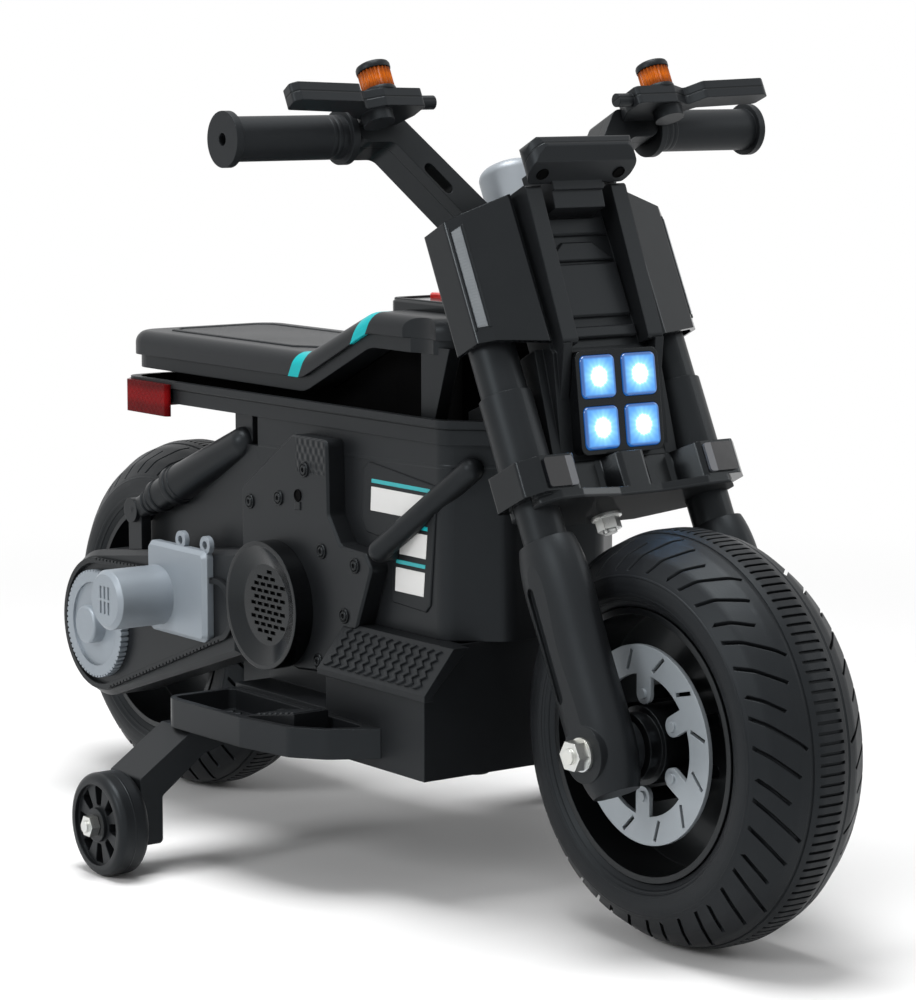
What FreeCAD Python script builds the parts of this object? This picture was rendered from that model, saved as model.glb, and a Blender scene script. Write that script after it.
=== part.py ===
import FreeCAD, Part
import math
import os

# A child's electric ride-on motorbike. X points forward, Y to the rider's left, Z up.
# The origin lies on the ground under the middle of the wheelbase. All lengths are millimetres.

V = FreeCAD.Vector

# General clearances
overrun = 5.0
slip_gap = 0.2
running_gap = 0.3
seam_gap = 0.4
wall = 3.0
touch_gap = 1e-4
corner_room_share = 0.49
round_end_share = 0.98
square_shares = [(-0.5, -0.5), (0.5, -0.5), (0.5, 0.5), (-0.5, 0.5)]

# Wheels and steering line
wheelbase = 572.0
tyre_radius = 130.0
tyre_width = 90.0
tyre_wall = 4.0
bead_radius = 85.0
rake_deg = 26.0
fork_offset = 20.0
fork_half = 68.0
front_axle_x = wheelbase / 2
rear_axle_x = -wheelbase / 2
axle_z = tyre_radius

# Tyre section: shares of half the width, and of the height from bead to tread
tyre_section_shares = [(0.86, 0.0), (1.0, 0.18), (1.0, 0.42), (0.8, 0.7), (0.5, 0.9), (0.16, 1.0)]
tyre_corner = 12.0
bead_corner = 1.5
tread_groove_share = 0.32
tread_groove_width = 2.4
tread_groove_depth = 2.6
tread_rib_count = 132
tread_rib_gap = 2.0
tread_rib_depth = 2.2
tread_rib_length = 19.0
sipe_count = 42
sipe_gap = 2.2
sipe_depth = 3.0
sipe_wall_height = 23.0
sipe_reach_shares = [(0.38, 0.98), (0.48, 0.95), (0.58, 0.92)]
sipe_slant_deg = 42.0

# Rims and discs
axle_radius = 5.0
hub_radius = 21.0
hub_half = 49.0
web_half = 4.0
rim_thickness = 4.0
rim_half_share = 0.9
rim_ring_radius = 24.5
rim_ring_half = 40.0
disc_radius = 62.0
disc_inner_radius = 44.0
disc_thickness = 3.0
disc_face_y = 38.0
disc_tab_count = 6
disc_tab_radius = 32.0
disc_tab_size = 6.5
disc_post_radius = 4.5
disc_slot_count = 12
disc_slot_length = 14.0
disc_slot_width = 2.6
disc_slot_radius = 53.0
disc_slot_slant_deg = 32.0
disc_screw_radius = 3.2
disc_screw_height = 1.6

# Axle rods, nuts and washers
nut_width = 17.0
nut_height = 8.0
washer_radius = 10.5
washer_thickness = 2.0
thread_end = 2.0

# Fork, in the steering frame: u forward of the stem, v to the left, w up the stem from the axle
leg_top = 134.0
leg_bottom = -27.0
leg_depth_half = 25.0
leg_width_half = 17.5
leg_inner_v = 51.0
leg_outer_v = 85.0
leg_height_shares = [0.0, 0.07, 0.17, 0.36, 0.72, 0.93, 1.0]
leg_depth_shares = [0.62, 0.82, 0.96, 1.0, 1.04, 0.98, 0.84]
leg_width_shares = [0.8, 0.95, 1.0, 1.0, 1.0, 0.96, 0.86]
leg_boss_radius = 18.0
leg_socket_depth = 36.0
leg_slot_length = 74.0
leg_slot_width = 8.0
leg_slot_depth = 4.0
leg_slot_bottom = 34.0
leg_reach = 90.0
tube_radius = 14.0
tube_collar_radius = 17.0
tube_collar_length = 48.0
tube_upper_radius = 15.0

# Yokes
yoke_bottom = 153.0
yoke_top = 182.0
yoke_half_width = 88.0
yoke_front = 47.0
yoke_rear = 4.0
yoke_block_inner = 50.0
yoke_nose_front = 41.0
yoke_nose_half = 17.0
yoke_nose_tip_half = 10.0
yoke_recess_front = 27.0
yoke_tail = 15.0
yoke_tail_half = 34.0
yoke_chamfer = 10.0
yoke_plate = 6.0
yoke_corner = 4.0
lens_width = 22.0
lens_height = 19.0
lens_depth = 2.0
upper_yoke_bottom = 320.0
upper_yoke_top = 336.0
upper_yoke_half = 81.0
upper_yoke_front = 36.0

# Stem and head tube
stem_radius = 8.0
stem_end_radius = 4.5
stem_nut_width = 14.0
stem_washer_radius = 10.0
head_tube_radius = 17.0
bush_radius = 11.5
bush_length = 18.0
bush_flange = 3.0
stem_cap_radius = 20.0
stem_cap_height = 58.0
stem_cap_round = 7.0

# Headlight bezel: its front face leans, given by its lower and upper front edge
bezel_low_u = 34.6
bezel_low_w = 183.0
bezel_height = 65.0
bezel_lean_deg = 18.3
bezel_half_width = 33.0
bezel_depth = 9.0
bezel_corner = 5.0
lamp_pitch_v = 32.8
lamp_pitch_w = 32.0
lamp_size = 27.0
lamp_corner = 4.0
lamp_proud = 1.5

# Shroud, ribs, shoulder covers
shroud_half = 43.0
shroud_foot_half = 49.5
shroud_foot_rear = 15.0
shroud_back = 24.0
shroud_front = 45.0
shroud_top = 350.0
rib_inner_v = 28.0
rib_width = 12.0
rib_front = 56.0
rib_top_front = 62.0
rib_foot_w = 206.0
rib_top = 355.0
shoulder_gap = 0.5
shoulder_half = 88.0
shoulder_rear = 8.0
shoulder_front_inner = 52.0
shoulder_front_outer = 42.0
shoulder_chamfer = 9.0
shoulder_low_outer = 262.0
shoulder_low_inner = 254.0
shoulder_high_outer = 343.0
shoulder_high_inner = 354.0

# Dash housing
dash_half = 41.5
dash_rear = 60.0
dash_length = 24.5
dash_bottom = 354.0
dash_height = 24.5
dash_corner = 11.5
dash_edge = 6.0
dash_round = 2.0
dash_neck_half = 20.0
dash_neck_rear = 36.0
dash_neck_height = 20.0
dash_chin_bottom = 339.0
dash_chin_front = 64.0
dash_chin_foot = 60.0
dash_profile_shares = [(0.0, 0.0), (0.78, 0.35), (1.0, 0.7), (0.92, 1.0), (0.0, 0.96)]

# Handlebar risers, grips, lever brackets and turn lamps
bar_u = 3.6
bar_w = 415.7
riser_depth = 28.0
riser_foot_inner = 22.0
riser_foot_outer = 44.0
riser_end = 121.0
riser_end_height = 20.0
riser_thickness = 20.0
riser_bend = 96.0
riser_corner = 9.0
riser_slot_length = 24.0
riser_slot_width = 8.0
riser_top_shift = 8.0
riser_foot_rise = 24.0
riser_slot_rise = 9.0
bar_radius = 8.0
grip_start = 122.0
grip_end = 213.0
grip_radius = 14.0
grip_flange_radius = 17.5
grip_flange = 5.0
grip_hole = 4.0
grip_hole_depth = 12.0
lever_bottom = 417.0
lever_height = 12.0
lever_inner_v = 86.0
lever_length = 104.0
lever_reach = 40.0
lever_corner = 3.0
lever_outline_shares = [(0.0, 0.06), (0.34, 0.0), (0.72, 0.0), (0.76, 0.3), (0.62, 0.42), (0.9, 0.5),
                        (1.0, 0.96), (0.92, 1.0), (0.62, 0.98), (0.5, 0.52), (0.3, 0.44), (0.22, 0.36),
                        (0.0, 0.33)]
lever_pivot_radius = 10.0
lever_pivot_height = 7.0
lever_pivot_shares = (0.44, 0.3)
lever_knob_radius = 4.5
lever_knob_length = 12.0
turn_lamp_u = 37.5
turn_lamp_v = 112.5
turn_lamp_radius = 11.0
turn_lamp_height = 16.0
turn_lamp_cap = 4.0

# Body: tray (rails), shells, lower chassis
rail_half = 75.0
rail_rear_x = -270.0
rail_corner_x = 126.0
rail_nose_x = 158.0
rail_nose_half = 44.0
rail_bottom_rear = 299.0
rail_bottom_front = 301.0
rail_height = 16.0
rail_lip = 5.0
rail_lip_step = 2.5
tray_corner = 14.0
tray_reach = 48.0
body_half = 70.0
body_waist_half = 52.0
body_rear_x = -146.0
body_waist_x = -97.0
body_taper_x = 122.0
body_nose_x = 150.0
body_nose_half = 38.0
body_bottom = 174.0
body_corner = 16.0
chassis_half = 98.0
chassis_front_x = 140.0
chassis_wide_rear_x = -84.0
shelf_top = 118.0
chassis_bottom = 88.0
chassis_side_top = 146.0
deck_half = 105.0
deck_front_x = 150.0
deck_rear_x = 28.0
deck_top_half = 82.0
deck_thickness = 4.0
chassis_foot_radius = 9.0
chassis_foot_height = 8.0
chassis_foot_x = 105.0
chassis_foot_y = 32.0

# Neck that carries the head tube
neck_half = 28.0
neck_rear_x = 92.0
neck_top = 345.0
neck_bottom = 254.0
neck_front_rise = 40.0
neck_trim_radius = 68.0

# Seat
seat_half = 66.0
seat_rear_x = -285.0
seat_knee_x = -48.0
seat_ramp_top_x = 30.0
seat_front_x = 118.0
seat_parting_z = 330.0
tank_parting_z = 366.0
seat_base_depth = 9.5
seat_pad_height = 17.0
tank_pad_height = 14.0
seat_bend = 30.0
seat_plan_corner = 24.0
seat_edge = 9.0
seat_base_inset = 3.0
seat_wall = 5.0
seat_core_half = 38.0
seat_core_rear_x = -258.0
seat_core_taper_x = 24.0
seat_core_front_x = 88.0
seat_core_front_half = 30.0
scoop_x = 90.0
scoop_radius = 32.0
scoop_depth = 6.0
pedestal_length = 34.0
pedestal_half = 60.0
pedestal_thickness = 10.0

# Tank console and its buttons
console_x = 8.0
console_length = 72.0
console_half = 33.0
console_height = 6.0
console_corner = 8.0
button_length = 16.0
button_width = 13.0
button_proud = 3.5
button_depth = 4.5
button_corner = 3.0
button_x_shares = (0.24, 0.56)
button_gap = 0.4

# Tail light
tail_front_x = -204.0
tail_rear_x = -274.0
tail_half = 79.0
tail_height = 23.0
tail_rise = -8.8
tail_chamfer = 15.0

# Side plate, loudspeaker horn, struts
plate_thickness = 14.0
plate_rear_x = -96.5
plate_front_x = 61.0
plate_bottom = 134.0
plate_top = 294.0
plate_corner = 5.0
plate_outline_shares = [(0.4, 1.0), (0.67, 1.0), (0.68, 0.69), (0.77, 0.57), (0.95, 0.56), (1.0, 0.5),
                        (0.88, 0.22), (0.66, 0.02), (0.43, 0.0), (0.0, 0.1), (0.0, 0.74)]
plate_screw_radius = 4.0
plate_screw_height = 1.6
plate_screw_shares = [(0.3, 0.72), (0.5, 0.86), (0.07, 0.68), (0.63, 0.53), (0.88, 0.5), (0.8, 0.28),
                      (0.6, 0.06)]
horn_x = -52.0
horn_z = 176.0
horn_radius = 44.0
horn_rim_y = 98.0
horn_lip = 3.0
horn_throat_radius = 28.0
horn_throat_depth = 5.0
grille_thickness = 3.0
grille_slot_length = 6.0
grille_slot_height = 2.4
grille_pitch_x = 8.0
grille_pitch_z = 4.6
grille_rows = 5
speaker_radius = 24.0
strut_low_radius = 7.5
strut_high_radius = 8.0
strut_low_x = 68.0
strut_low_z = 227.0
strut_low_y = 82.0
strut_high_x = 139.0
strut_high_z = 286.0
strut_high_y = 60.0

# Shock absorbers
shock_low_x = -243.0
shock_low_z = 219.0
shock_low_y = 79.0
shock_high_x = -121.0
shock_high_z = 279.0
shock_high_y = 66.0
shock_radius = 14.0
shock_head_radius = 11.0
shock_mid_radius = 11.5
shock_rod_radius = 8.5
shock_step_shares = (0.2, 0.36)
shock_eye_radius = 9.0
shock_lug_width = 16.0
shock_fin_outer_y = 69.5
shock_fin_inner_y = 64.0

# Drive casing (right) and its plain twin (left)
arm_inner_y = 52.0
arm_outer_y = 88.0
arm_round = 54.0
arm_front_x = -97.0
arm_front_top = 208.0
arm_front_bottom = 134.0
arm_edge = 4.0
arm_plate = 3.0
pulley_radius = 40.0
pulley_depth = 6.0
pulley_teeth = 60
pulley_tooth = 1.4
pulley_ring_radius = 31.0
pulley_boss_radius = 14.0
pulley_boss_wall = 2.0
pulley_boss_round = 2.0
pulley_bore_radius = 10.8
belt_rear_radius = 45.0
belt_front_radius = 18.0
belt_front_x = -120.0
belt_front_z = 163.0
belt_thickness = 4.0
belt_height = 3.5
belt_tooth = 1.6
belt_tooth_pitch = 5.0
motor_x = -190.0
motor_z = 165.0
motor_can_radius = 21.5
motor_can_end = 140.0
motor_can_wall = 2.5
motor_can_chamfer = 3.0
motor_base_depth = 8.0
motor_base_rear_x = -206.0
motor_base_front_x = -128.0
motor_base_bottom = 138.0
motor_base_top = 203.0
motor_base_corner = 6.0
motor_lug_radius = 6.5
motor_lug_hole = 3.0
motor_lug_depth = 4.0
motor_lug_rise = 4.0
motor_lug_shares = (0.52, 0.94)
vent_length = 9.0
vent_width = 2.6
vent_pitch = 5.4
vent_depth = 1.2
vent_shift = 5.4

# Gear train from the motor to the rear wheel
gear_module = 1.5
drive_gear_teeth = 60
small_gear_teeth = 15
large_gear_teeth = 52
pinion_teeth = 12
addendum_share = 0.75
dedendum_share = 1.2
backlash = 0.35
pressure_deg = 20.0
gear_width = 9.0
gear_side_gap = 2.0
gear_hub_radius = 14.0
gear_pin_radius = 4.0
motor_radius = 17.0
motor_length = 40.0
motor_shaft_radius = 2.0
flank_steps = 6

# Footrests and the accelerator pedal
rest_rear_x = -84.0
rest_length = 176.0
rest_half = 156.0
rest_bottom = 95.0
rest_height = 20.0
rest_wall = 5.0
rest_floor = 6.0
rest_corner = 12.0
rest_outline_shares = [(0.0, 0.0), (1.0, 0.0), (0.9, 0.52), (0.78, 0.8), (0.52, 0.95), (0.0, 1.0)]
pedal_rear_x = -14.0
pedal_length = 58.0
pedal_inner_y = 107.0
pedal_width = 27.0
pedal_travel_deg = 7.0
pedal_front_height = 12.0
pedal_pin_radius = 2.5
pedal_rear_radius = 4.5
pedal_pin_length = 4.0
pedal_floor_gap = 0.6
switch_length = 14.0
switch_width = 10.0
switch_step = 2.0
switch_place_share = 0.6

# Stabilisers
stabiliser_x = -76.5
stabiliser_radius = 35.0
stabiliser_outer_y = 215.0
stabiliser_width = 23.0
stabiliser_windows = 8
stabiliser_window_inner = 13.0
stabiliser_window_outer = 26.0
stabiliser_window_root = 2.7
stabiliser_window_tip = 5.0
stabiliser_round = 5.0
stabiliser_recess = 3.0
bolt_radius = 4.0
bolt_nut_width = 13.0
bolt_nut_height = 6.5
bracket_half_length = 20.0
bracket_thickness = 17.0
bracket_inner_y = 112.0
bracket_shoulder_y = 150.0
bracket_knee_z = 60.0
bracket_foot_below = 14.0
bracket_gap = 0.8
bracket_bend_share = 0.4
bracket_root_share = 0.5

# Things inside the lower chassis
battery_length = 101.0
battery_width = 70.0
battery_height = 62.0
battery_x = -50.0
box_length = 62.0
box_width = 60.0
box_height = 30.0
box_x = 66.0


def plane_point(plane, a, b, level):
    if plane == "xy":
        return V(a, b, level)
    if plane == "xz":
        return V(a, level, b)
    return V(level, a, b)


def outline_wire(points, plane, level, radius=0.0):
    """Closed wire through the points, with each corner rounded by the radius, or by its own in a list."""
    radii = radius if isinstance(radius, list) else [radius] * len(points)
    flat = [V(a, b, 0) for a, b in points]
    runs = []
    for i, corner in enumerate(flat):
        back = flat[i - 1] - corner
        ahead = flat[(i + 1) % len(flat)] - corner
        half_angle = back.getAngle(ahead) / 2
        room = min(back.Length, ahead.Length) * corner_room_share
        setback = min(radii[i] / math.tan(half_angle), room) if radii[i] > 0 else 0
        start = corner + back.normalize() * setback
        end = corner + ahead.normalize() * setback
        middle = None
        if setback > 0:
            bisector = (back + ahead).normalize()
            bend = setback * math.tan(half_angle)
            middle = corner + bisector * (bend / math.sin(half_angle) - bend)
        runs.append((start, middle, end))
    lift = [[None if p is None else plane_point(plane, p.x, p.y, level) for p in run] for run in runs]
    edges = []
    for i, (start, middle, end) in enumerate(lift):
        if middle is not None:
            edges.append(Part.Arc(start, middle, end).toShape())
        following = lift[(i + 1) % len(lift)][0]
        if end.distanceToPoint(following) > touch_gap:
            edges.append(Part.LineSegment(end, following).toShape())
    return Part.Wire(edges)


def prism(points, plane, start, end, radius=0.0):
    face = Part.Face(outline_wire(points, plane, start, radius))
    return face.extrude(plane_point(plane, 0, 0, end - start))


def box(x0, x1, y0, y1, z0, z1):
    return Part.makeBox(x1 - x0, y1 - y0, z1 - z0, V(x0, y0, z0))


def rod(start, end, radius):
    return Part.makeCylinder(radius, start.distanceToPoint(end), start, end - start)


def cross_rod(x, z, y0, y1, radius):
    """Round bar along Y."""
    return rod(V(x, y0, z), V(x, y1, z), radius)


def cross_ring(x, z, y0, y1, outer, inner):
    bore = cross_rod(x, z, min(y0, y1) - overrun, max(y0, y1) + overrun, inner)
    return cross_rod(x, z, y0, y1, outer).cut(bore)


def turned(points, radius=0.0):
    """Solid turned about the Y axis from points given as (y, radius)."""
    face = Part.Face(outline_wire(points, "yz", 0, radius))
    return face.revolve(V(0, 0, 0), V(0, 1, 0), 360)


def hexagon_points(a, b, width):
    corner = width / math.sqrt(3)
    angles = [math.radians(60 * k) for k in range(6)]
    return [(a + corner * math.cos(angle), b + corner * math.sin(angle)) for angle in angles]


def hexagon(x, z, y0, y1, width):
    return prism(hexagon_points(x, z, width), "xz", y0, y1)


def scaled(shares, a0, a_size, b0, b_size):
    return [(a0 + a * a_size, b0 + b * b_size) for a, b in shares]


def mirrored(shape):
    return shape.mirror(V(0, 0, 0), V(0, 1, 0))


def pair(shape):
    """The piece made on the right side and its twin on the left."""
    return [shape, mirrored(shape)]


def placed(shape, x, y, z):
    moved = shape.copy()
    moved.translate(V(x, y, z))
    return moved


def joined(shapes):
    return shapes[0].fuse(shapes[1:]).removeSplitter()


def edges_at(shape, axis, value):
    """Edges that lie whole in the plane where the axis has the value."""
    return [e for e in shape.Edges if abs(getattr(e.BoundBox, axis + "Min") - value) < touch_gap
            and abs(getattr(e.BoundBox, axis + "Max") - value) < touch_gap]


steering_place = FreeCAD.Placement(V(front_axle_x, 0, axle_z), FreeCAD.Rotation(V(0, 1, 0), -rake_deg))
steering_place = steering_place.multiply(FreeCAD.Placement(V(-fork_offset, 0, 0), FreeCAD.Rotation()))


def steered(shape):
    """Move a piece from the steering frame (u, v, w) to its place on the bike."""
    moved = shape.copy()
    moved.Placement = steering_place.multiply(shape.Placement)
    return moved


def save(name, shapes):
    solids = shapes if isinstance(shapes, list) else [shapes]
    whole = solids[0] if len(solids) == 1 else Part.makeCompound(solids)
    whole.exportStep("parts/" + name + ".step")


# Wheels

def tyre_half_section(half_width, height):
    return [(share * half_width, bead_radius + rise * height) for share, rise in tyre_section_shares]


def mirrored_section(points):
    return points + [(-a, b) for a, b in reversed(points)]


def tyre_rounds():
    rounds = [bead_corner] + [tyre_corner] * (len(tyre_section_shares) - 1)
    return rounds + list(reversed(rounds))


def tyre_sipes():
    """Slanted slots over both shoulders, from long to short by turns."""
    half = tyre_width / 2
    height = tyre_radius - bead_radius
    core = turned(mirrored_section(tyre_half_section(half - sipe_depth, height - sipe_depth)), tyre_rounds())
    slots = []
    for k in range(sipe_count):
        near, far = sipe_reach_shares[k % len(sipe_reach_shares)]
        middle = (near + far) / 2 * half
        reach = (far - near) / 2 * half / math.cos(math.radians(sipe_slant_deg))
        slot = box(-sipe_gap / 2, sipe_gap / 2, middle - reach, middle + reach,
                   tyre_radius - sipe_wall_height, tyre_radius)
        slot.rotate(V(0, middle, 0), V(0, 0, 1), sipe_slant_deg)
        slots.append(around_axle(slot.cut(core), 360 * k / sipe_count))
    return slots + [mirrored(slot) for slot in slots]


def tyre():
    half = tyre_width / 2
    height = tyre_radius - bead_radius
    outer = turned(mirrored_section(tyre_half_section(half, height)), tyre_rounds())
    inner_points = mirrored_section(tyre_half_section(half - tyre_wall, height - tyre_wall))
    inner_points[0] = (inner_points[0][0], bead_radius - overrun)
    inner_points[-1] = (inner_points[-1][0], bead_radius - overrun)
    cuts = [turned(inner_points)]
    groove_y = tread_groove_share * half
    ribs = []
    for k in range(tread_rib_count):
        slot = box(-tread_rib_gap / 2, tread_rib_gap / 2, -tread_rib_length / 2, tread_rib_length / 2,
                   tyre_radius - tread_rib_depth, tyre_radius + overrun)
        slot.rotate(V(0, 0, 0), V(0, 1, 0), 360 * k / tread_rib_count)
        ribs.append(slot)
    for side in (-1, 1):
        edge = side * groove_y
        ring = [(edge - tread_groove_width / 2, tyre_radius - tread_groove_depth),
                (edge + tread_groove_width / 2, tyre_radius - tread_groove_depth),
                (edge + tread_groove_width / 2, tyre_radius + overrun),
                (edge - tread_groove_width / 2, tyre_radius + overrun)]
        cuts.append(turned(ring))
    return outer.cut(cuts).cut(ribs).cut(tyre_sipes())


def rim():
    rim_radius = bead_radius - slip_gap
    rim_half = rim_half_share * tyre_width / 2
    hub = cross_rod(0, 0, -hub_half, hub_half, hub_radius)
    web = cross_rod(0, 0, -web_half, web_half, rim_radius)
    barrel = cross_ring(0, 0, -rim_half, rim_half, rim_radius, rim_radius - rim_thickness)
    ring = cross_ring(0, 0, -rim_ring_half, rim_ring_half, rim_ring_radius, hub_radius - rim_thickness)
    solid = joined([hub, web, barrel, ring])
    bore = cross_rod(0, 0, -hub_half - overrun, hub_half + overrun, axle_radius + slip_gap)
    return solid.cut(bore)


def tab_angles():
    return [360 * k / disc_tab_count for k in range(disc_tab_count)]


def around_axle(shape, degrees):
    turned_shape = shape.copy()
    turned_shape.rotate(V(0, 0, 0), V(0, 1, 0), degrees)
    return turned_shape


def disc_post():
    """Post on the rim web that carries the slotted disc."""
    back = disc_face_y - disc_thickness
    return cross_rod(0, disc_tab_radius, -back, back, disc_post_radius)


def front_rim():
    posts = [around_axle(disc_post(), degrees) for degrees in tab_angles()]
    return joined([rim()] + posts)


def slotted_disc():
    back = -disc_face_y + disc_thickness
    ring = cross_ring(0, 0, -disc_face_y, back, disc_radius, disc_inner_radius)
    tab_tip = cross_rod(0, disc_tab_radius, -disc_face_y, back, disc_tab_size)
    tab_arm = box(-disc_tab_size, disc_tab_size, -disc_face_y, back, disc_tab_radius,
                  disc_inner_radius + disc_tab_size)
    screw = cross_rod(0, disc_tab_radius, -disc_face_y - disc_screw_height, back, disc_screw_radius)
    tabs = []
    for degrees in tab_angles():
        tabs += [around_axle(piece, degrees) for piece in (tab_tip, tab_arm, screw)]
    slots = []
    for k in range(disc_slot_count):
        slot = box(-disc_slot_width / 2, disc_slot_width / 2, -disc_face_y - overrun, back + overrun,
                   -disc_slot_length / 2, disc_slot_length / 2)
        slot.rotate(V(0, 0, 0), V(0, 1, 0), disc_slot_slant_deg)
        slot.translate(V(0, 0, disc_slot_radius))
        slots.append(around_axle(slot, 360 * (k + 0.5) / disc_slot_count))
    return joined([ring] + tabs).cut(slots)


def on_front(shape):
    return placed(shape, front_axle_x, 0, axle_z)


def on_rear(shape):
    return placed(shape, rear_axle_x, 0, axle_z)


def axle_nut(y_seat, side):
    """Washer and hexagon nut on an axle end, seated at y_seat."""
    washer_y = y_seat + side * washer_thickness
    nut_y = washer_y + side * nut_height
    washer = cross_ring(0, 0, y_seat, washer_y, washer_radius, axle_radius)
    bore = cross_rod(0, 0, y_seat - side * overrun, nut_y + side * overrun, axle_radius)
    return joined([washer, hexagon(0, 0, washer_y, nut_y, nut_width).cut(bore)])


axle_end_gap = washer_thickness + nut_height + thread_end


def front_axle():
    half = leg_outer_v + axle_end_gap
    return on_front(cross_rod(0, 0, -half, half, axle_radius))


# Fork

def oval(u, v, w, depth, width):
    big, small = max(depth, width), min(depth, width)
    major = V(1, 0, 0) if depth >= width else V(0, 1, 0)
    curve = Part.Ellipse(V(u, v, w) + major * big, V(u, v, w) + V(0, 0, 1).cross(major) * small, V(u, v, w))
    return Part.Wire(curve.toShape())


def fork_leg():
    height = leg_top - leg_bottom
    sections = [oval(fork_offset, -fork_half, leg_bottom + rise * height, depth * leg_depth_half,
                     width * leg_width_half)
                for rise, depth, width in zip(leg_height_shares, leg_depth_shares, leg_width_shares)]
    leg = Part.makeLoft(sections, True)
    boss = cross_rod(fork_offset, 0, -leg_outer_v, -leg_inner_v, leg_boss_radius)
    leg = joined([leg, boss])
    leg = leg.common(box(-leg_reach, leg_reach, -leg_outer_v, -leg_inner_v, leg_bottom - overrun,
                         leg_top + overrun))
    socket = rod(V(fork_offset, -fork_half, leg_top - leg_socket_depth),
                 V(fork_offset, -fork_half, leg_top + overrun), tube_radius + slip_gap)
    axle_bore = cross_rod(fork_offset, 0, -leg_outer_v - overrun, 0, axle_radius + slip_gap)
    slot_centre = fork_offset - leg_slot_width
    slot_end = leg_slot_width / 2
    slot = prism([(slot_centre - slot_end, leg_slot_bottom), (slot_centre + slot_end, leg_slot_bottom),
                  (slot_centre + slot_end, leg_slot_bottom + leg_slot_length),
                  (slot_centre - slot_end, leg_slot_bottom + leg_slot_length)], "xz",
                 -leg_outer_v - overrun, -leg_outer_v + leg_slot_depth, slot_end * round_end_share)
    return leg.cut([socket, axle_bore, slot])


def fork_tube():
    foot = V(fork_offset, -fork_half, leg_top - leg_socket_depth + slip_gap)
    collar = V(fork_offset, -fork_half, yoke_top)
    collar_end = collar + V(0, 0, tube_collar_length)
    top = V(fork_offset, -fork_half, upper_yoke_top)
    return joined([rod(foot, collar, tube_radius), rod(collar, collar_end, tube_collar_radius),
                   rod(collar_end, top, tube_upper_radius)])


def both_sides(points):
    """Half outline given as (u, v) with v positive, front to rear, closed by its mirror image."""
    return points + [(u, -v) for u, v in reversed(points)]


def lower_yoke():
    outline = both_sides([(yoke_nose_front, yoke_nose_tip_half), (yoke_recess_front, yoke_nose_half),
                          (yoke_recess_front, yoke_block_inner - yoke_chamfer),
                          (yoke_front, yoke_block_inner), (yoke_front, yoke_half_width - yoke_chamfer),
                          (yoke_front - yoke_chamfer, yoke_half_width), (yoke_rear, yoke_half_width),
                          (yoke_rear, yoke_block_inner), (-yoke_tail, yoke_tail_half)])
    body = prism(outline, "xy", yoke_bottom + yoke_plate, yoke_top, yoke_corner)
    plate_outline = both_sides([(yoke_nose_front, yoke_nose_half), (yoke_front, yoke_block_inner),
                                (yoke_front, yoke_half_width - yoke_chamfer * 2),
                                (yoke_front - yoke_chamfer, yoke_half_width - yoke_chamfer),
                                (yoke_rear, yoke_half_width - yoke_chamfer), (-yoke_tail, yoke_tail_half)])
    plate = prism(plate_outline, "xy", yoke_bottom, yoke_bottom + yoke_plate, yoke_corner)
    bores = [rod(V(fork_offset, side * fork_half, yoke_bottom - overrun),
                 V(fork_offset, side * fork_half, yoke_top + overrun), tube_radius + slip_gap)
             for side in (-1, 1)]
    bores.append(rod(V(0, 0, yoke_bottom - overrun), V(0, 0, yoke_top + overrun), stem_radius))
    return joined([body, plate]).cut(bores)


def upper_yoke():
    outline = both_sides([(upper_yoke_front, upper_yoke_half), (shoulder_rear, upper_yoke_half),
                          (-stem_cap_radius, yoke_tail_half)])
    plate = prism(outline, "xy", upper_yoke_bottom, upper_yoke_top, yoke_corner)
    bores = [rod(V(fork_offset, side * fork_half, upper_yoke_bottom - overrun),
                 V(fork_offset, side * fork_half, upper_yoke_top + overrun), tube_upper_radius + slip_gap)
             for side in (-1, 1)]
    bores.append(rod(V(0, 0, upper_yoke_bottom - overrun), V(0, 0, upper_yoke_top + overrun), stem_radius))
    return plate.cut(bores)


def marker_lens():
    centre_v = -(yoke_block_inner + yoke_half_width - yoke_chamfer) / 2
    centre_w = (yoke_bottom + yoke_plate + yoke_top) / 2
    points = scaled(square_shares, centre_v, lens_width, centre_w, lens_height)
    return prism(points, "yz", yoke_front, yoke_front + lens_depth, lens_depth)


def steering_stem():
    foot = yoke_bottom - washer_thickness - nut_height - thread_end
    shank = rod(V(0, 0, yoke_bottom), V(0, 0, upper_yoke_top), stem_radius)
    return joined([shank, rod(V(0, 0, foot), V(0, 0, yoke_bottom), stem_end_radius)])


def stem_nut():
    """Washer and nut under the lower yoke."""
    washer_w = yoke_bottom - washer_thickness
    nut_w = washer_w - nut_height
    washer = rod(V(0, 0, washer_w), V(0, 0, yoke_bottom), stem_washer_radius)
    nut = prism(hexagon_points(0, 0, stem_nut_width), "xy", nut_w, washer_w)
    bore = rod(V(0, 0, nut_w - overrun), V(0, 0, yoke_bottom + overrun), stem_end_radius)
    return joined([washer, nut]).cut(bore)


def stem_cap():
    cap = rod(V(0, 0, upper_yoke_top), V(0, 0, upper_yoke_top + stem_cap_height), stem_cap_radius)
    return cap.makeFillet(stem_cap_round, edges_at(cap, "Z", upper_yoke_top + stem_cap_height))


# Front end

def bezel_frame(shape):
    """Lean a piece made upright at the bezel's lower front edge: depth along X, height along Z."""
    moved = shape.copy()
    moved.rotate(V(0, 0, 0), V(0, 1, 0), bezel_lean_deg)
    moved.translate(V(bezel_low_u, 0, bezel_low_w))
    return moved


def lamp_centres():
    middle = bezel_height / 2
    return [(v * lamp_pitch_v / 2, middle + w * lamp_pitch_w / 2) for v in (-1, 1) for w in (-1, 1)]


def lamp_square(centre, size):
    return scaled(square_shares, centre[0], size, centre[1], size)


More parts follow.
